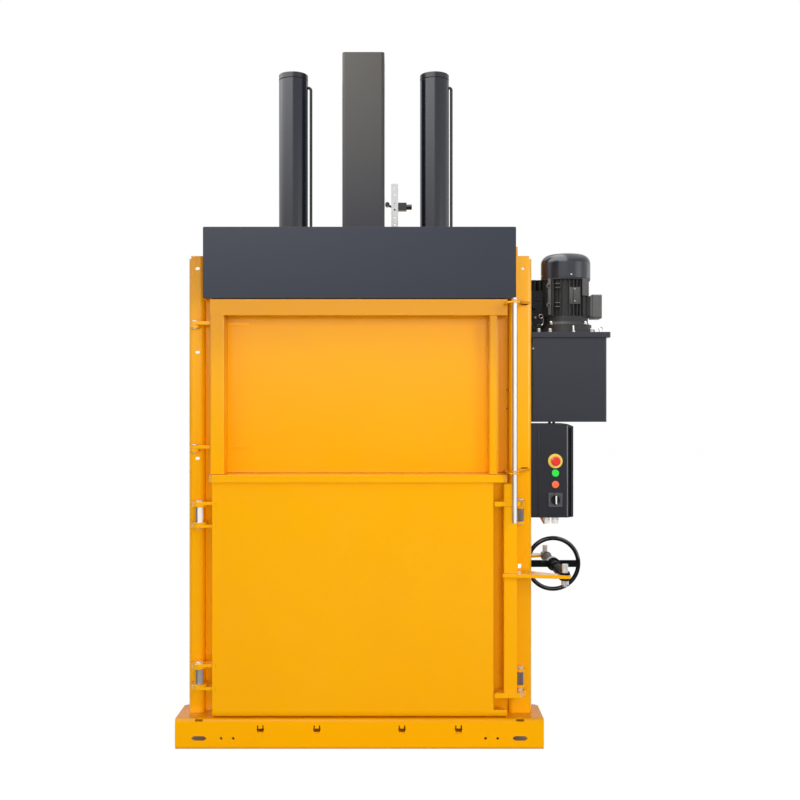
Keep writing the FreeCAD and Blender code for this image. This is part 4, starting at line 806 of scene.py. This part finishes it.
def beads(name, paths, sizes, body):
    corners, edges = [], []
    for path in paths:
        first = len(corners)
        corners += path
        edges += [(first + i, first + i + 1) for i in range(len(path) - 1)]
    mesh = bpy.data.meshes.new(name)
    mesh.from_pydata(corners, edges, [])
    grow(name, beadGroup, mesh, sizes, "weld", body)


front, up = (0, -1, 0), (0, 0, 1)

# hydraulic unit: screws, blank plate, pads and fittings
unit = {
    "lid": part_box("tank_lid")[1].z,
    "flange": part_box("motor_flange")[1].z - 0.036,
    "axis": (0.8915, -0.200),
    "screw": {"Sides": 24, "Head": 0.0075, "Height": 0.012, "Washer": 0.0105, "Plate": 0.002},
    "hex": {"Sides": 6, "Head": 0.0085, "Height": 0.015, "Washer": 0.011, "Plate": 0.002},
    "small": {"Sides": 20, "Head": 0.0036, "Height": 0.0025, "Washer": 0.0042, "Plate": 0.001},
    "ring": 0.1045,
    "rivet": {"Sides": 16, "Head": 0.0028, "Height": 0.002, "Washer": 0.0034, "Plate": 0.0006},
    "lidBolts": ((0.750, -0.385), (0.7965, -0.385), (0.971, -0.385), (0.766, -0.035),
                 (1.005, -0.035)),
    "pin": (0.895, -0.385),
    "pinForm": [(0.0, 0.031), (0.0028, 0.030), (0.0042, 0.027), (0.0042, 0.008),
                (0.0075, 0.007), (0.0075, 0.0)],
    "eye": (1.010, -0.385),
    "eyeFoot": [(0.0, 0.006), (0.005, 0.006), (0.0065, 0.004), (0.0065, 0.0)],
    "eyeRing": {"radius": 0.008, "wire": 0.0019, "rise": 0.0145},
    "cowl": {"degrees": (-85.5, 4.5, 94.5, 184.5), "inset": 0.0006, "rise": 0.011},
    "plate": {"low": (0.892, -0.2985, 1.834), "high": (0.939, -0.2955, 1.907), "bevel": 0.0006,
              "rivetX": 0.916, "rivets": (1.8465, 1.8985)},
    "pads": {"x": 0.811, "y": -0.277, "width": 0.014, "low": 1.788, "high": 1.947,
             "bevel": 0.003, "holes": (1.831, 1.913), "shift": 0.005},
    "boss": [(0.0042, -0.004), (0.0042, 0.0035), (0.0085, 0.0035), (0.010, 0.002),
             (0.010, -0.004)],
    "hole": [(0.0, 0.0005), (0.0042, 0.0005)],
    "tie": {"low": (0.832, -0.303), "high": (0.852, -0.27), "lifts": (-0.011, 0.006),
            "height": 0.005, "bevel": 0.0012},
    "nose": (0.7509, -0.2485, 1.778),
    "noseForm": [(0.0, 0.020), (0.0035, 0.020), (0.0052, 0.0175), (0.0052, 0.0)],
    "port": (0.7747, -0.2485, 1.7826),
    "portForm": [(0.0062, 0.002), (0.0062, 0.018), (0.0085, 0.020), (0.0105, 0.018),
                 (0.0105, 0.0)],
    "elbowBevel": 0.003,
    "band": [(0.950, -0.2925), (0.981, -0.2635), (0.979, -0.2600), (0.948, -0.2890)],
    "bandRise": (1.872, 1.948),
    "elbow": ((0.755, -0.266, 1.7065), (0.7765, -0.2525, 1.750)),
}


def dressMotor():
    x, y = unit["axis"]
    ring = unit["ring"] * math.sqrt(0.5)
    spots = [((x + a * ring, y + b * ring, unit["flange"]), up) for a in (-1, 1) for b in (-1, 1)]
    bolts("motorScrews", spots, unit["screw"], "zinc")
    lidSpots = [((*spot, unit["lid"]), up) for spot in unit["lidBolts"]]
    bolts("lidBolts", lidSpots, unit["hex"], "zinc")
    form = bmesh.new()
    lid = unit["lid"]
    addTurned(form, unit["pinForm"], (*unit["pin"], lid), up, 24)
    addTurned(form, unit["eyeFoot"], (*unit["eye"], lid), up, 24)
    # a lifting eye: a thin ring standing on its foot
    radius, wire, rise = unit["eyeRing"].values()
    turns = [math.radians(45 * k) for k in range(9)]
    hoop = [(radius + wire * math.cos(turn), wire * math.sin(turn)) for turn in turns]
    addTurned(form, hoop, (*unit["eye"], lid + rise), front, 32)
    meshPiece("lidFittings", form, "zinc", "frame")
    form = bmesh.new()
    addBlock(form, *unit["elbow"], unit["elbowBevel"])
    meshPiece("valveElbow", form, "black", "frame")
    form = bmesh.new()
    addTurned(form, unit["noseForm"], unit["nose"], front, 24)
    addTurned(form, unit["portForm"], unit["port"], front, 28)
    meshPiece("valveFittings", form, "bush", "frame")
    form = bmesh.new()
    addPrism(form, unit["band"], *unit["bandRise"])
    meshPiece("motorBand", form, "lug", "frame")
    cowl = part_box("fan_cover")
    radius = (cowl[1].x - cowl[0].x) / 2 - unit["cowl"]["inset"]
    rise = cowl[0].z + unit["cowl"]["rise"]
    spots = []
    for degrees in unit["cowl"]["degrees"]:
        angle = math.radians(degrees)
        way = (math.cos(angle), math.sin(angle), 0)
        spots.append(((x + radius * way[0], y + radius * way[1], rise), way))
    bolts("cowlScrews", spots, unit["small"], "zinc")
    plate = unit["plate"]
    form = bmesh.new()
    addBlock(form, plate["low"], plate["high"], plate["bevel"])
    meshPiece("namePlate", form, "terminal", "frame")
    spots = [((plate["rivetX"], plate["low"][1], z), front) for z in plate["rivets"]]
    bolts("plateRivets", spots, unit["rivet"], "zinc")
    pads, tie = unit["pads"], unit["tie"]
    form = bmesh.new()
    half = pads["width"] / 2
    low, high = (pads["x"] - half, pads["y"], pads["low"]), (pads["x"] + half, y, pads["high"])
    addBlock(form, low, high, pads["bevel"])
    bossX = pads["x"] - pads["shift"]
    for z in pads["holes"]:
        addTurned(form, unit["boss"], (bossX, pads["y"], z), front, 24)
        for low in (z + lift for lift in tie["lifts"]):
            high = low + tie["height"]
            addBlock(form, (*tie["low"], low), (*tie["high"], high), tie["bevel"])
    meshPiece("motorPads", form, "lug", "frame")
    # painted shade: flat black discs on the bosses stand in for the shade inside their holes
    form = bmesh.new()
    for z in pads["holes"]:
        addTurned(form, unit["hole"], (bossX, pads["y"], z), front, 20)
    meshPiece("padHoleShadeDiscs", form, "black", "frame", False)


dressMotor()
print("motor dressed")

# control box: a dark door seam with pale strips of painted highlight beside it and along the box's
# edge, corner sheet and groove, glands, a folded clip painted the brown of yellow in shade, index
# bar; and black plates of painted shade behind the slots of the rod guides, and three loose screws
cabinet = {
    "face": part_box("control_box")[0].y,
    "rise": (0.937, 1.315),
    "darkSeam": (0.7385, 0.7400),
    "seamHighlightStrip": (0.7400, 0.7420),
    "edgeHighlightStrip": (0.8592, 0.8616),
    "bend": (0.861, -0.44),
    "corner": (0.89, -0.414),
    "depth": 0.001,
    "darkProud": 0.0004,
    "paleProud": 0.0005,
    "paleBevel": 0.0002,
    "groove": {"span": (0.30, 0.56), "lift": 0.0014, "gap": 0.008},
    "sheet": {"span": (0.12, 0.97), "lift": 0.0007, "gap": 0.006},
    "cap": [(0.0, 0.0), (0.0100, 0.0), (0.0132, 0.0025), (0.0146, 0.0065), (0.0146, 0.0165),
            (0.0135, 0.0172)],
    "glands": ((0.778, -0.40, 0.9045), (0.815, -0.40, 0.9045)),
    "clip": [(0.7475, 0.9332), (0.7585, 0.9332), (0.7695, 0.9045), (0.7635, 0.9045)],
    "clipDepth": (-0.426, -0.4155),
    "bar": ((0.8096, -0.4580, 0.9895), (0.8152, -0.4572, 1.0245)),
    "barBevel": 0.0003,
    "backing": ((0.640, 0.695), (-0.4438, -0.4418), 0.014),
    "backingBevel": 0.0004,
    "tankScrew": (0.723, 1.637),
    "panelScrews": {"x": 0.6105, "heights": (1.4633, 1.3866)},
    "panelScrew": {"Sides": 16, "Head": 0.0022, "Height": 0.0014, "Washer": 0.003,
                   "Plate": 0.0004},
}


def onCorner(part, lift):
    # a point on the slanted corner face, lifted off it
    start, end = Vector(cabinet["bend"]), Vector(cabinet["corner"])
    run = end - start
    away = Vector((-run.y, run.x)).normalized() * -1
    return tuple(start + run * part + away * lift)


def addStrip(form, strip):
    # an upright strip on the corner face, ending a gap below the box's top
    (first, last), lift = strip["span"], strip["lift"]
    low, high = cabinet["rise"]
    spots = ((first, 0), (last, 0), (last, lift), (first, lift))
    addPrism(form, [onCorner(*spot) for spot in spots], low, high - strip["gap"])


def dressBox():
    low, high = cabinet["rise"]
    face = cabinet["face"]
    form = bmesh.new()
    behind = face + cabinet["depth"]
    (x0, x1), proud = cabinet["darkSeam"], face - cabinet["darkProud"]
    addBlock(form, (x0, proud, low), (x1, behind, high))
    addStrip(form, cabinet["groove"])
    meshPiece("boxGrooves", form, "groove", "frame")
    proud = face - cabinet["paleProud"]
    # pale strips of painted highlight beside the door seam and along the box's front edge
    for name, finish in (("seamHighlightStrip", "seamHighlight"), ("edgeHighlightStrip", "edgeHighlight")):
        form = bmesh.new()
        x0, x1 = cabinet[name]
        addBlock(form, (x0, proud, low), (x1, behind, high), cabinet["paleBevel"])
        meshPiece(name, form, finish, "frame")
    form = bmesh.new()
    addStrip(form, cabinet["sheet"])
    meshPiece("boxCorner", form, "corner", "frame")
    form = bmesh.new()
    for spot in cabinet["glands"]:
        addTurned(form, cabinet["cap"], spot, up, 36)
    meshPiece("glandCaps", form, "whitePlastic", "frame")
    form = bmesh.new()
    # painted shade: the clip is brown, as a yellow bracket in shade
    addPrism(form, cabinet["clip"], *cabinet["clipDepth"], "y")
    meshPiece("boxClip", form, "shadedBrown", "frame")
    form = bmesh.new()
    addBlock(form, *cabinet["bar"], cabinet["barBevel"])
    meshPiece("indexBar", form, "whitePlastic", "selector")


def dressGuides():
    (x0, x1), (y0, y1), reach = cabinet["backing"]
    # painted shade: black plates behind the slots stand in for the shade inside them
    form = bmesh.new()
    for low, high in solidBoxes("rod_guides"):
        middle = (low.z + high.z) / 2
        low, high = (x0, y0, middle - reach), (x1, y1, middle + reach)
        addBlock(form, low, high, cabinet["backingBevel"])
    meshPiece("slotShadePlates", form, "black", "frame")
    x, z = cabinet["tankScrew"]
    bolts("tankScrew", [((x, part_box("oil_tank")[0].y, z), front)], unit["small"], "zinc")
    x, heights = cabinet["panelScrews"].values()
    spots = [((x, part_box("upper_door_panel")[0].y, z), front) for z in heights]
    bolts("panelScrews", spots, cabinet["panelScrew"], "black", "upper_door")


dressBox()
dressGuides()
print("control box dressed")

# weld beads on the walls, leaves and lock, and the bolts of the cylinders' collars
seams = {
    "stitch": 0.035,
    "gap": 0.085,
    "inset": 0.01,
    "rearInset": 0.02,
    "fineInset": 0.004,
    "sideRib": 0.3,
    "markHalf": 0.008,
    "capCount": 8,
    "capTurn": 22.5,
    "widest": 0.17,
    "bead": {"Pitch": 0.0072, "Width": 0.0072, "Seed": 4},
    "fine": {"Pitch": 0.0036, "Width": 0.0044, "Seed": 9},
    "wall": 0.606,
    "backWall": 0.406,
    "cap": {"Sides": 6, "Head": 0.0085, "Height": 0.0075, "Washer": 0.011, "Plate": 0.0015},
    "capRing": 0.079,
    "mark": 0.583,
}


def stitched(first, last):
    # short welds spread evenly over a line
    length, gap = seams["stitch"], seams["gap"]
    first, last = Vector(first), Vector(last)
    run = (last - first).length
    way = (last - first) / run
    count = max(1, int((run + gap) / (length + gap)))
    start = (run - count * length - (count - 1) * gap) / 2
    offsets = [start + i * (length + gap) for i in range(count)]
    return [[tuple(first + way * at), tuple(first + way * (at + length))] for at in offsets]


def weldAll():
    paths = []
    wall, rear, inset = seams["wall"], seams["backWall"], seams["inset"]
    corner = wall - seams["rearInset"]
    for low, high in solidBoxes("wall_ribs"):
        for z in (low.z, high.z):
            if high.x - low.x < seams["sideRib"]:
                x = wall if low.x > 0 else -wall
                paths += stitched((x, low.y + inset, z), (x, high.y - inset, z))
                continue
            paths += stitched((-corner, rear, z), (corner, rear, z))
            for x in (-wall, wall):
                paths += stitched((x, low.y + inset, z), (x, rear - inset, z))
    inset = seams["fineInset"]
    for low, high in solidBoxes("tank_brackets"):
        for z in (low.z, high.z):
            paths.append([(low.x, low.y + inset, z), (low.x, high.y - inset, z)])
    beads("wallWelds", paths, seams["bead"], "frame")
    paths = []
    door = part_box("lower_door_skin")[0].y
    for low, high in solidBoxes("lower_hinge_leaves"):
        middle = (low.z + high.z) / 2
        x, half = -seams["mark"], seams["markHalf"]
        paths.append([(x, door, middle - half), (x, door, middle + half)])
        for z in (low.z, high.z):
            paths.append([(high.x, low.y + inset, z), (high.x, high.y - inset, z)])
    beads("leafWelds", paths, seams["fine"], "lower_door")
    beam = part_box("lock_beam")
    paths = []
    edges = [z for low, high in solidBoxes("lock_ears") for z in (low.z, high.z)]
    edges += [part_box("lock_lever")[0].z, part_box("lock_lever")[1].z]
    for z in edges:
        paths.append([(beam[0].x + inset, beam[0].y, z), (beam[1].x - inset, beam[0].y, z)])
    beads("lockWelds", paths, seams["fine"], "lock")
    spots = []
    for low, high in solidBoxes("cylinder_heads"):
        if high.x - low.x < seams["widest"]:
            continue  # a cap or a gland, not a collar
        x, y = (low.x + high.x) / 2, (low.y + high.y) / 2
        for step in range(seams["capCount"]):
            angle = math.radians(360 / seams["capCount"] * step + seams["capTurn"])
            out = (seams["capRing"] * math.cos(angle), seams["capRing"] * math.sin(angle))
            spots.append(((x + out[0], y + out[1], high.z), up))
    bolts("collarBolts", spots, seams["cap"], "zinc")


weldAll()
print("welds and bolts placed")

bpy.context.view_layer.update()
